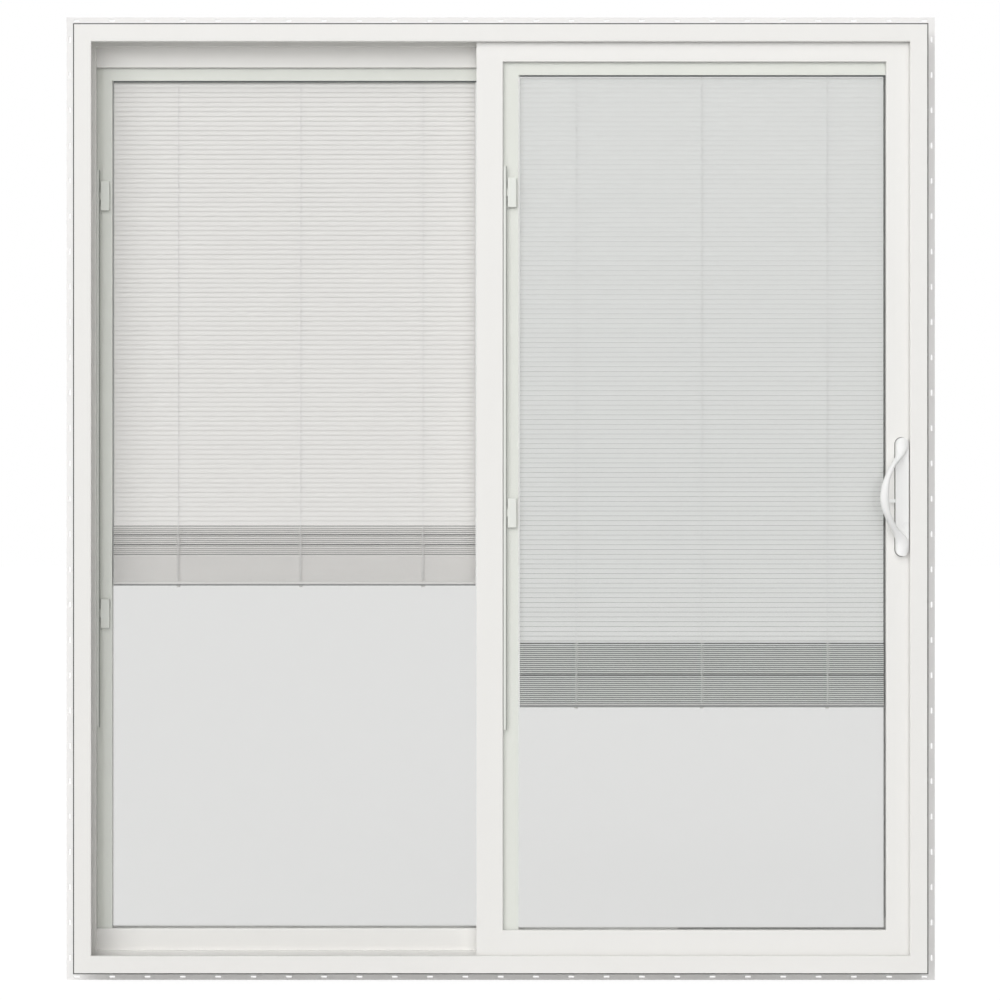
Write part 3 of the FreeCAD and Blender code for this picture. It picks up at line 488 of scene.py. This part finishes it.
def rebate_shade_mask(tree, reach, depth):
    """1 in the rebate round the frame's face, where it is painted dark as painted shade, 0
    elsewhere.
    """
    where = axes(tree, "Object")
    middle = (FRAME_LOW.z + FRAME_HIGH.z) / 2
    half = (FRAME_HIGH.z - FRAME_LOW.z) / 2
    sideways = math_node(tree, "ABSOLUTE", where["X"])
    upwards = math_node(tree, "ABSOLUTE", math_node(tree, "SUBTRACT", where["Z"], middle))
    beside = math_node(tree, "GREATER_THAN", sideways, FRAME_HIGH.x - reach)
    above = math_node(tree, "GREATER_THAN", upwards, half - reach)
    ahead = math_node(tree, "LESS_THAN", where["Y"], ROOM_FACE + depth)
    either = math_node(tree, "MAXIMUM", beside, above)
    return math_node(tree, "MULTIPLY", either, ahead)


def frame_vinyl(sizes, colours):
    """The frame's satin vinyl, with painted shade in the rebate round its face."""
    made = moulded("frame_vinyl", colours.vinyl, roughness=0.42)
    rebate = rebate_shade_mask(made.node_tree, sizes.rebate_shade_width, sizes.rebate_shade_depth)
    darkened(made, colours.seam, rebate)
    return made


def mixed_surface(tree, factor, first, second):
    """The surface is the first shader where the factor is 0, and the second where it is 1."""
    mix = node(tree, "ShaderNodeMixShader")
    for socket, output in zip(mix.inputs, (factor, first.outputs[0], second.outputs[0])):
        tree.links.new(output, socket)
    tree.links.new(mix.outputs[0], tree.nodes["Material Output"].inputs["Surface"])


def clear_glass(name, colours, cavity):
    """Thin clear glass; the pane behind the cavity carries a faint grey-green coating."""
    made, tree, shader = material(name)
    tree.nodes.remove(shader)
    # The pane mirrors little where it is seen straight on, and most at a grazing angle.
    straight, grazing, steepness = 0.035, 0.955, 5.0
    facing = node(tree, "ShaderNodeLayerWeight", Blend=0.5).outputs["Facing"]
    steep = math_node(tree, "POWER", facing, steepness)
    glance = math_node(tree, "MULTIPLY_ADD", steep, grazing - straight, straight)
    coated = math_node(tree, "GREATER_THAN", axes(tree, "Object")["Y"], cavity)
    through = node(tree, "ShaderNodeBsdfTransparent")
    passed = blended(tree, coated, colours.clear_pane, colours.coated_pane)
    tree.links.new(passed, through.inputs["Color"])
    gloss = node(tree, "ShaderNodeBsdfGlossy", Roughness=0.03, Color=(1, 1, 1, 1))
    mixed_surface(tree, glance, through, gloss)
    return made


def brushed(name, colour, roughness, along):
    """Brushed metal, with its scratches running one way."""
    made, tree, shader = material(name)
    stretch = tuple(2.0 if i == along else 240.0 for i in range(3))
    grain = noise(tree, scale=5.0, detail=4.0, stretch=stretch)
    clouded(tree, shader, grain, colour, low=0.85, high=1.1)
    worn(tree, shader, grain, low=roughness * 0.8, high=roughness * 1.25)
    bump(tree, shader, grain, strength=0.2, distance=0.00003)
    shader.inputs["Metallic"].default_value = 1.0
    return made


def braid(name, colour):
    """A fine twill on the ladder cords."""
    made, tree, shader = material(name)
    wave = node(tree, "ShaderNodeTexWave", Scale=420.0, Distortion=0.6)
    wave.bands_direction = "DIAGONAL"
    tree.links.new(place(tree), wave.inputs["Vector"])
    clouded(tree, shader, wave.outputs["Fac"], colour, low=0.72, high=1.0)
    bump(tree, shader, wave.outputs["Fac"], strength=0.5, distance=0.0001)
    shader.inputs["Roughness"].default_value = 0.85
    return made


def painted_slat(name, colour):
    """Satin paint on thin sheet, a little uneven along its length."""
    made, tree, shader = material(name)
    streak = noise(tree, scale=1.0, detail=3.0, stretch=(2.5, 30.0, 90.0))
    clouded(tree, shader, streak, colour, low=0.97, high=1.02)
    worn(tree, shader, streak, low=0.34, high=0.46)
    bump(tree, shader, noise(tree, scale=600.0, detail=2.0), strength=0.15, distance=0.00002)
    return made


def darkened(made, colour, mask):
    """The paint turns to a darker colour where the mask is 1."""
    tree = made.node_tree
    shader = tree.nodes["Principled BSDF"]
    paint = shader.inputs["Base Color"].links[0].from_socket
    mix = node(tree, "ShaderNodeMix", data_type="RGBA")
    mix.inputs["B"].default_value = (*colour, 1)
    tree.links.new(mask, mix.inputs["Factor"])
    tree.links.new(paint, mix.inputs["A"])
    tree.links.new(mix.outputs["Result"], shader.inputs["Base Color"])


def gathered_slat(panel, front, sizes, colours):
    """The stack's paint, with painted shade where the slats lie on each other."""
    colour = getattr(colours, panel + "_stack")
    made = painted_slat(panel + "_gathered_paint", colour)
    tree = made.node_tree
    start, end = getattr(sizes, panel + "_shade_band")
    # Painted shade between the gathered slats, darker further back from their front edge.
    depth = axes(tree, "Object")["Y"]
    behind = ranged(tree, depth, low=0.0, high=1.0, lowest=front + start, highest=front + end)
    darkened(made, shade(colour, getattr(colours, panel + "_shade")), behind)
    return made


def lapped_slat(foot, middle, sizes, colours):
    """The sliding panel's paint, with painted shadow on the strip that lies behind the next
    slat.
    """
    made = painted_slat("sliding_slat_paint", colours.sliding_slats)
    tree = made.node_tree
    where = axes(tree, "Object")
    pitch = sizes.slat_pitch
    steps = math_node(tree, "MULTIPLY_ADD", where["Z"], 1 / pitch, -foot / pitch)
    step = math_node(tree, "FRACT", steps)
    low = math_node(tree, "LESS_THAN", step, sizes.lap_shadow_height / pitch)
    behind = math_node(tree, "GREATER_THAN", where["Y"], middle)
    roomward = math_node(tree, "LESS_THAN", axes(tree, "Normal")["Y"], 0.0)
    # The mask marks the painted shadow: the room side of each slat's lapped strip.
    mask = math_node(tree, "MULTIPLY", math_node(tree, "MULTIPLY", low, behind), roomward)
    darkened(made, shade(colours.sliding_slats, colours.lap_shade), mask)
    return made


def finish_node(name, made):
    """One of the door's solids takes a material."""
    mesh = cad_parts[name].data
    mesh.materials.clear()
    mesh.materials.append(made)


def settle(piece, name, made, body):
    """The piece's place goes into its mesh, and it gets its name, finish and body."""
    pick(piece)
    bpy.ops.object.transform_apply(location=True, rotation=True, scale=True)
    piece.name = name
    piece.data.name = name
    piece.data.materials.clear()
    piece.data.materials.append(made)
    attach(piece, body)


def apply_modifier(piece, kind, **values):
    """One modifier, added with its values and applied."""
    pick(piece)
    modifier = piece.modifiers.new(kind.title(), kind)
    for name, value in values.items():
        setattr(modifier, name, value)
    bpy.ops.object.modifier_apply(modifier=modifier.name)


def repeat(piece, count, step):
    """The piece as many times as the count says, each a step above or below the last."""
    apply_modifier(
        piece,
        "ARRAY",
        count=count,
        use_relative_offset=False,
        use_constant_offset=True,
        constant_offset_displace=(0, 0, step),
    )


def join(pieces):
    """Several objects made one."""
    pick(pieces[0])
    for piece in pieces:
        piece.select_set(True)
    bpy.ops.object.join()
    return pieces[0]


def ring(x0, x1, z0, z1, width, front, back):
    """A rectangular ring between two depths, inset from its outer edge."""
    deselect()
    bpy.ops.mesh.primitive_plane_add(
        size=1, location=((x0 + x1) / 2, front, (z0 + z1) / 2), rotation=(math.pi / 2, 0, 0)
    )
    piece = bpy.context.object
    piece.scale = (x1 - x0, z1 - z0, 1)
    bpy.ops.object.transform_apply(location=True, rotation=True, scale=True)
    bpy.ops.object.mode_set(mode="EDIT")
    bpy.ops.mesh.select_all(action="SELECT")
    bpy.ops.mesh.inset(thickness=width)
    bpy.ops.mesh.delete(type="FACE")
    bpy.ops.mesh.select_all(action="SELECT")
    bpy.ops.mesh.extrude_region_move(
        TRANSFORM_OT_translate={"value": (0, back - front, 0)}
    )
    bpy.ops.mesh.select_all(action="SELECT")
    bpy.ops.mesh.normals_make_consistent(inside=False)
    bpy.ops.object.mode_set(mode="OBJECT")
    return piece


def strip(low, high, bevel):
    """A bar between two corners, with its edges softened."""
    deselect()
    low, high = Vector(low), Vector(high)
    bpy.ops.mesh.primitive_cube_add(size=1, location=(low + high) / 2)
    piece = bpy.context.object
    piece.scale = high - low
    bpy.ops.object.transform_apply(location=True, rotation=True, scale=True)
    bpy.ops.object.mode_set(mode="EDIT")
    bpy.ops.mesh.select_all(action="SELECT")
    bpy.ops.mesh.bevel(offset=bevel, segments=2, affect="EDGES")
    bpy.ops.object.mode_set(mode="OBJECT")
    return piece


def crowned_slat(x0, x1, y, z, tilt, sizes):
    """One slat, spun from its room-side edge about the axis of its crown."""
    half = sizes.slat_width / 2
    radius = (half**2 + sizes.slat_crown**2) / (2 * sizes.slat_crown)
    sweep = 2 * math.asin(half / radius)
    across = Vector((0, math.cos(tilt), math.sin(tilt)))
    up = Vector((0, -math.sin(tilt), math.cos(tilt)))
    middle = Vector(((x0 + x1) / 2, y, z))
    axis = middle - up * (radius - sizes.slat_crown)
    edge = middle - across * half
    sliver = 0.001
    deselect()
    bpy.ops.mesh.primitive_plane_add(size=1, location=edge)
    piece = bpy.context.object
    piece.scale = (x1 - x0, sliver, 1)
    bpy.ops.object.transform_apply(location=True, rotation=True, scale=True)
    bpy.ops.object.mode_set(mode="EDIT")
    bpy.ops.mesh.select_all(action="DESELECT")
    bpy.ops.object.mode_set(mode="OBJECT")
    for vertex in piece.data.vertices:
        vertex.select = vertex.co.y > edge.y
    bpy.ops.object.mode_set(mode="EDIT")
    bpy.ops.mesh.delete(type="VERT")
    bpy.ops.mesh.select_all(action="SELECT")
    bpy.ops.transform.translate(value=(0, sliver / 2, 0))
    bpy.ops.mesh.spin(steps=6, angle=sweep, center=axis, axis=(1, 0, 0))
    bpy.ops.object.mode_set(mode="OBJECT")
    apply_modifier(piece, "SOLIDIFY", thickness=sizes.slat_gauge, offset=-1.0)
    return piece


def copied(piece, shift):
    """A copy with its own mesh, moved."""
    pick(piece)
    bpy.ops.object.duplicate()
    twin = bpy.context.object
    twin.location = shift
    bpy.ops.object.transform_apply(location=True, rotation=False, scale=False)
    return twin


def hanging_slats(panel, sizes):
    """How many slats hang, the height of the first, and that of the blind's rail."""
    low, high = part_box(panel + "_ladder_cords")
    room = high.z - sizes.slat_width / 2 - (low.z + getattr(sizes, panel + "_stack"))
    count = int(room / sizes.slat_pitch) + 1
    return count, high.z - sizes.slat_width / 2 - getattr(sizes, panel + "_drop"), low.z


def paired_places(sizes, gathered):
    """How far back and how high each slat of a stack of pairs lies, from the lowest up."""
    places = []
    for i in range(gathered):
        level = i // 2 if i // 2 <= sizes.slipped_pair else i // 2 - 1
        slipped = level == sizes.slipped_pair
        back = sizes.pair_slip if slipped else 0.0
        nested = i - 2 * level if slipped else i % 2
        places.append((back, level * sizes.pair_pitch + nested * sizes.nest))
    return places


def loose_places(sizes, gathered, height):
    """The same for a tight pack that has loose slats on top."""
    packed = gathered - sizes.loose_slats
    top = height - sizes.loose_slats * sizes.loose_pitch
    places = [(0.0, i * top / packed) for i in range(packed)]
    for i in range(sizes.loose_slats):
        back = sizes.slipped_back if i % sizes.slipped_every == 0 else 0.0
        places.append((back, top + i * sizes.loose_pitch))
    return places


def make_slats(panel, sizes, colours):
    """All the slats of one blind: an array that hangs, and the gathered stack."""
    low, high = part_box(panel + "_blind_slats")
    y = (low.y + high.y) / 2
    tilt = getattr(sizes, panel + "_tilt")
    count, first, rail_top = hanging_slats(panel, sizes)
    gathered = sizes.slat_count - count
    hanging = crowned_slat(low.x, high.x, y, first, tilt, sizes)
    leaning = crowned_slat(low.x, high.x, y, 0.0, sizes.stack_tilt, sizes)
    lean = -min(v.co.z for v in leaning.data.vertices)
    if panel == "sliding":
        foot = first - sizes.slat_width / 2 * math.sin(abs(tilt))
        paint = lapped_slat(foot, y, sizes, colours)
        places = paired_places(sizes, gathered)
    else:
        paint = painted_slat("fixed_slat_paint", colours.fixed_slats)
        places = loose_places(sizes, gathered, sizes.fixed_stack - lean)
    repeat(hanging, count, -sizes.slat_pitch)
    pieces = []
    for back, rise in places:
        height = rail_top + lean + sizes.stack_rest + rise
        pieces.append(copied(leaning, (0, back, height)))
    bpy.data.objects.remove(leaning)
    # The gathered slats' paint carries painted shade where they lie on each other.
    shade_painted = gathered_slat(panel, y - sizes.slat_width / 2, sizes, colours)
    for slats, name, finish in (
        (hanging, "_crowned_slats", paint),
        (join(pieces), "_gathered_slats", shade_painted),
    ):
        pick(slats)
        bpy.ops.object.shade_smooth_by_angle(angle=math.radians(40))
        settle(slats, panel + name, finish, PANELS[panel])
    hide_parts(panel + "_blind_slats")


def cord_pairs(panel):
    """The left and the right edge of each pair of ladder cords."""
    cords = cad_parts[panel + "_ladder_cords"].data
    places = sorted({round(v.co.x, 4) for v in cords.vertices})
    return zip(places[::2], places[1::2])


def make_rungs(panel, sizes, made):
    """The cross threads under the hanging slats, three to a slat."""
    count, first = hanging_slats(panel, sizes)[:2]
    low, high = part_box(panel + "_blind_slats")
    y = (low.y + high.y) / 2
    tilt = getattr(sizes, panel + "_tilt")
    half = sizes.slat_width / 2 * math.cos(tilt)
    foot = first - sizes.slat_width / 2 * math.sin(abs(tilt))
    thick = sizes.rung_thickness
    pieces = []
    for left, right in cord_pairs(panel):
        near = (left, y - half - thick, foot - thick)
        pieces.append(strip(near, (right, y + half, foot), thick / 4))
    rungs = join(pieces)
    repeat(rungs, count, -sizes.slat_pitch)
    settle(rungs, panel + "_ladder_rungs", made, PANELS[panel])


def slack_loop(x, y, z, side, reach, sizes):
    """One loop of slack cord, open towards the cord that it hangs from."""
    radius = sizes.pair_pitch / 3
    deselect()
    bpy.ops.mesh.primitive_torus_add(
        major_segments=12,
        minor_segments=5,
        major_radius=radius,
        minor_radius=sizes.slack_thread / 2,
        rotation=(math.pi / 2, 0, 0),
    )
    piece = bpy.context.object
    bpy.ops.object.transform_apply(location=True, rotation=True, scale=True)
    bpy.ops.object.mode_set(mode="EDIT")
    bpy.ops.mesh.select_all(action="SELECT")
    bpy.ops.mesh.bisect(
        plane_co=(0, 0, 0), plane_no=(side, 0, 0), use_fill=True, clear_inner=True
    )
    bpy.ops.object.mode_set(mode="OBJECT")
    piece.scale = (reach / radius, 1, 1)
    piece.location = (x, y, z)
    bpy.ops.object.transform_apply(location=True, rotation=True, scale=True)
    return piece


def make_slack(panel, sizes, made):
    """The loops of slack cord down the front of the gathered slats."""
    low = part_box(panel + "_ladder_cords")[0]
    y = low.y - sizes.slack_thread / 2
    pieces = []
    for left, right in cord_pairs(panel):
        x = (left + right) / 2
        for side, lift in SLACK_LIFTS:
            for i, part in enumerate(SLACK_PARTS):
                z = low.z + (i + lift) * sizes.pair_pitch
                pieces.append(slack_loop(x, y, z, side, part * sizes.slack_reach, sizes))
    loops = join(pieces)
    step = len(SLACK_PARTS) * sizes.pair_pitch
    repeat(loops, int(getattr(sizes, panel + "_stack") / step), step)
    settle(loops, panel + "_slack_loops", made, PANELS[panel])


def opening(panel):
    """The glass that shows: left, right, bottom and top edges of the sight line."""
    left, right = STILES[panel]
    return (
        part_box(left)[1].x,
        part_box(right)[0].x,
        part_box(panel + "_bottom_rail")[1].z,
        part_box(panel + "_top_rail")[0].z,
    )


def make_gaskets(panel, sizes, made):
    """The room-side and outdoor gaskets that seal the glass to the beads."""
    edges = (*opening(panel), sizes.gasket_width)
    near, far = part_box(panel + "_glass_panes")
    pieces = [
        ring(*edges, near.y - sizes.gasket_depth, near.y),
        ring(*edges, far.y, far.y + sizes.gasket_depth),
    ]
    settle(join(pieces), panel + "_glazing_gaskets", made, PANELS[panel])


def make_cavity_edge(panel, sizes, made):
    """Dark strips under the blind's head and at the cavity's edge past the slats, painted shadow
    for the shade there.
    """
    right = opening(panel)[1]
    slats_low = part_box(panel + "_blind_slats")[0]
    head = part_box(panel + "_ladder_cords")[1].z
    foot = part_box(panel + "_blind_bottom_rail")[0].z + sizes.plug_height
    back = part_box(panel + "_blind_cover")[1].y
    edge = right if panel == "sliding" else slats_low.x
    pieces = [
        strip(
            (slats_low.x, slats_low.y, head - sizes.head_shadow_strip),
            (right, slats_low.y + sizes.lip_depth, head),
            sizes.strip_bevel,
        ),
        strip(
            (edge - sizes.shadow_gap, back - sizes.shadow_depth, foot),
            (edge, back, head),
            sizes.strip_bevel,
        ),
    ]
    settle(join(pieces), panel + "_cavity_edge", made, PANELS[panel])


def make_rail_lip(panel, sizes, made):
    """Dark bands on the blind's rail as painted shade: one for its shaded channel, and in the
    sliding panel one more above it.
    """
    low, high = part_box(panel + "_blind_bottom_rail")
    foot = low.z + sizes.plug_height
    channel = foot + getattr(sizes, panel + "_rail_lip")
    bands = [(foot, channel)]
    if panel == "sliding":
        bands.append((channel + sizes.rail_face, high.z + sizes.rail_stand))
    front = low.y - sizes.rail_lip_depth / 2
    back = low.y + sizes.rail_lip_depth / 2
    pieces = []
    for bottom, top in bands:
        near, far = (low.x, front, bottom), (high.x, back, top)
        pieces.append(strip(near, far, sizes.rail_lip_bevel))
    settle(join(pieces), panel + "_rail_lip", made, PANELS[panel])


def make_felt(panel, sizes, made):
    """The felt lip that closes the groove of the slider track; its dark grey is also painted
    shadow for the groove's shade.
    """
    low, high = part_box(panel + "_slider_track")
    front = low.y + sizes.felt_step
    near = (high.x, front, low.z)
    far = (high.x + sizes.felt_width, front + sizes.felt_depth, high.z)
    piece = strip(near, far, sizes.strip_bevel)
    settle(piece, panel + "_slider_felt", made, PANELS[panel])


def make_handle_gasket(sizes, made):
    """The foam gasket that shows as a fine line round the handle's plate; its dark grey is also
    painted shadow round the plate.
    """
    low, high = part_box("inside_handle_plate")
    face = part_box("sliding_lock_stile")[0].y
    radius = (high.x - low.x) / 2 + sizes.gasket_reveal
    reach = (high.z - low.z) / 2 + sizes.gasket_reveal - radius
    middle = ((low.x + high.x) / 2, face - sizes.foam_depth / 2, (low.z + high.z) / 2)
    deselect()
    bpy.ops.mesh.primitive_cylinder_add(
        vertices=48,
        radius=radius,
        depth=sizes.foam_depth,
        location=middle,
        rotation=(math.pi / 2, 0, 0),
    )
    piece = bpy.context.object
    bpy.ops.object.transform_apply(location=False, rotation=True, scale=True)
    for vertex in piece.data.vertices:
        vertex.co.z += math.copysign(reach, vertex.co.z)
    settle(piece, "handle_gasket", made, "sliding_panel")


class DOOR_OT_frame(bpy.types.Operator):
    """Finish the frame, its nailing fins and the two panels' members"""

    bl_idname = "door.frame"
    bl_label = "Frame and panels"

    def execute(self, context):
        sizes, colours = settings(context.scene)
        edged = frame_vinyl(sizes, colours)
        plain = moulded("panel_vinyl", colours.vinyl, roughness=0.38)
        fins = moulded("fin_vinyl", colours.fin, roughness=0.55, relief=0.00006)
        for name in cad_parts:
            if name.startswith("frame_"):
                finish_node(name, edged)
            elif name.startswith("nail_fin_"):
                finish_node(name, fins)
            elif name.endswith(("_rail", "_stile")) and "blind" not in name:
                finish_node(name, plain)
        return {"FINISHED"}


class DOOR_OT_glass(bpy.types.Operator):
    """Finish the panes and the spacer bars, and lay the gaskets round them"""

    bl_idname = "door.glass"
    bl_label = "Glass"

    def execute(self, context):
        sizes, colours = settings(context.scene)
        rubber = moulded("gasket_rubber", colours.gasket, roughness=0.6)
        spacer = brushed("spacer_bar", colours.steel, roughness=0.4, along=0)
        for panel in PANELS:
            low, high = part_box(panel + "_glass_panes")
            glass = clear_glass(panel + "_glass", colours, (low.y + high.y) / 2)
            finish_node(panel + "_glass_panes", glass)
            finish_node(panel + "_glass_spacer", spacer)
            make_gaskets(panel, sizes, rubber)
        return {"FINISHED"}


class DOOR_OT_blinds(bpy.types.Operator):
    """Model the slats and the cords' rungs and loops, and finish the rest of the blinds"""

    bl_idname = "door.blinds"
    bl_label = "Blinds"

    def execute(self, context):
        sizes, colours = settings(context.scene)
        rail = painted_slat("rail_paint", colours.blind_rail)
        braided = braid("ladder_braid", colours.cords)
        cover = moulded("cover_strip", colours.cover, roughness=0.5)
        # Painted shadow for the cavity's strips.
        dark = moulded("cavity_dark", colours.cavity, roughness=0.7)
        # A shaded copy of the stack's colour, as painted shade on the rails' bands.
        shaded = shade(colours.sliding_stack, colours.rail_shade)
        lip = moulded("rail_channel", shaded, roughness=0.6)
        for panel in PANELS:
            finish_node(panel + "_blind_cover", cover)
            finish_node(panel + "_blind_bottom_rail", rail)
            finish_node(panel + "_ladder_cords", braided)
            make_slats(panel, sizes, colours)
            make_rungs(panel, sizes, braided)
            slack = braid(panel + "_slack_braid", getattr(colours, panel + "_stack"))
            make_slack(panel, sizes, slack)
            make_cavity_edge(panel, sizes, dark)
            make_rail_lip(panel, sizes, lip)
        return {"FINISHED"}


class DOOR_OT_sliders(bpy.types.Operator):
    """Finish the slider tracks and their tabs, and lay the felts beside them"""

    bl_idname = "door.sliders"
    bl_label = "Slider tracks and tabs"

    def execute(self, context):
        sizes, colours = settings(context.scene)
        shell = moulded("slider_moulding", colours.slider, roughness=0.32)
        # The felt's dark grey is also painted shadow beside the track.
        felt = moulded("felt", colours.felt, roughness=0.95, relief=0.0002, gloss=0.1)
        for panel in PANELS:
            for part in ("_slider_track", "_tilt_tab", "_lift_tab"):
                finish_node(panel + part, shell)
            make_felt(panel, sizes, felt)
        return {"FINISHED"}


class DOOR_OT_hardware(bpy.types.Operator):
    """Finish the handles, the latch, the lock, the rollers and the roller rail"""

    bl_idname = "door.hardware"
    bl_label = "Handles and hardware"

    def execute(self, context):
        sizes, colours = settings(context.scene)
        coat = moulded("powder_coat", colours.handle, 0.3, relief=0.00008, grain=1400.0)
        upright = brushed("lock_steel", colours.steel, roughness=0.35, along=2)
        finishes = {
            "inside_handle_plate": coat,
            "inside_handle_grip": coat,
            "outside_handle": coat,
            "latch_lever": coat,
            "lock_case": upright,
            "lock_keeper": upright,
            "sill_track": brushed("track_steel", colours.steel, roughness=0.35, along=0),
            "door_rollers": moulded("roller_moulding", colours.rollers, roughness=0.45),
        }
        for name, finish in finishes.items():
            finish_node(name, finish)
        # The foam's dark grey is also painted shadow round the plate.
        make_handle_gasket(sizes, moulded("handle_foam", colours.foam, roughness=0.8))
        return {"FINISHED"}


def seen_ray(tree):
    """1 for rays from the camera, from a reflection or through glass, 0 for stray light."""
    path = node(tree, "ShaderNodeLightPath")
    mirrored = math_node(
        tree, "MAXIMUM", path.outputs["Is Glossy Ray"], path.outputs["Is Transmission Ray"]
    )
    return math_node(tree, "MAXIMUM", path.outputs["Is Camera Ray"], mirrored)


def whitened(tree, shader, glow_strength, shadow_share):
    """The shader throws light back, but the camera sees it as white with faint shadows."""
    grey = (shadow_share, shadow_share, shadow_share, 1)
    faint = node(tree, "ShaderNodeBsdfDiffuse", Color=grey)
    glow = node(tree, "ShaderNodeEmission", Strength=glow_strength)
    both = node(tree, "ShaderNodeAddShader")
    tree.links.new(faint.outputs[0], both.inputs[0])
    tree.links.new(glow.outputs[0], both.inputs[1])
    mixed_surface(tree, seen_ray(tree), shader, both)


def soft_lamp(name, strength, spread, turn):
    """A wide sun lamp: how far it stands above the level, and its turn round the door."""
    deselect()
    bpy.ops.object.light_add(type="SUN")
    lamp = bpy.context.object
    lamp.name = name
    lamp.data.energy = strength
    lamp.data.angle = spread
    lamp.visible_glossy = False
    above, round_by = turn[0], turn[1]
    level = math.cos(above)
    toward = Vector((math.sin(round_by) * level, math.cos(round_by) * level, -math.sin(above)))
    lamp.rotation_euler = toward.to_track_quat("-Z", "Y").to_euler()


class DOOR_OT_stage(bpy.types.Operator):
    """Set the camera, the pale floor, the soft lamps and the white surroundings"""

    bl_idname = "door.stage"
    bl_label = "Studio"

    def execute(self, context):
        scene = context.scene
        studio = scene.door_studio
        scene.view_settings.view_transform = "Standard"
        deselect()
        bpy.ops.object.camera_add(
            location=(studio.aim[0], ROOM_FACE - studio.stand_off, studio.aim[1]),
            rotation=(math.pi / 2, 0, 0),
        )
        camera = context.object
        camera.data.lens = studio.lens
        camera.data.sensor_width = 36.0
        camera.data.clip_end = 100.0
        scene.camera = camera

        deselect()
        bpy.ops.mesh.primitive_plane_add(size=studio.floor_size, location=(0, 0, cad_box[0].z))
        floor = context.object
        floor.name = "studio_floor"
        made, tree, shader = material("studio_floor")
        shader.inputs["Base Color"].default_value = (0.8, 0.8, 0.8, 1)
        shader.inputs["Roughness"].default_value = 0.9
        whitened(tree, shader, glow_strength=0.93, shadow_share=0.16)
        floor.data.materials.append(made)

        soft_lamp("soft_key", studio.key, studio.key_spread, studio.key_turn)
        soft_lamp("soft_back", studio.back, studio.back_spread, studio.back_turn)

        world = bpy.data.worlds.new("studio_white")
        world.use_nodes = True
        scene.world = world
        tree = world.node_tree
        background = tree.nodes["Background"]
        background.inputs["Color"].default_value = (1, 1, 1, 1)
        lit = math_node(tree, "MULTIPLY_ADD", seen_ray(tree), 1.0 - studio.fill, studio.fill)
        tree.links.new(lit, background.inputs["Strength"])
        return {"FINISHED"}


class DOOR_PT_panel(bpy.types.Panel):
    """The door's settings and its makers, in the order in which they run"""

    bl_label = "Patio door"
    bl_idname = "DOOR_PT_panel"
    bl_space_type = "VIEW_3D"
    bl_region_type = "UI"
    bl_category = "Patio Door"

    def draw(self, context):
        for group_name in GROUPS:
            group = getattr(context.scene, group_name)
            column = self.layout.column()
            for name in group.__annotations__:
                column.prop(group, name)
        for maker in MAKERS:
            self.layout.operator(maker.bl_idname)


MAKERS = (
    DOOR_OT_frame,
    DOOR_OT_glass,
    DOOR_OT_blinds,
    DOOR_OT_sliders,
    DOOR_OT_hardware,
    DOOR_OT_stage,
)
GROUPS = {"door_sizes": DoorSizes, "door_colours": DoorColours, "door_studio": DoorStudio}


def register():
    """Make the classes known and give each scene its own values."""
    for group in (*GROUPS.values(), *MAKERS, DOOR_PT_panel):
        bpy.utils.register_class(group)
    for name, group in GROUPS.items():
        setattr(bpy.types.Scene, name, bpy.props.PointerProperty(type=group))


def unregister():
    """Undo register."""
    for name in GROUPS:
        delattr(bpy.types.Scene, name)
    for group in (DOOR_PT_panel, *MAKERS, *GROUPS.values()):
        bpy.utils.unregister_class(group)


def main():
    """Finish the whole door and set the studio."""
    register()
    bpy.ops.door.frame()
    bpy.ops.door.glass()
    bpy.ops.door.blinds()
    bpy.ops.door.sliders()
    bpy.ops.door.hardware()
    bpy.ops.door.stage()


if __name__ == "__main__":
    main()
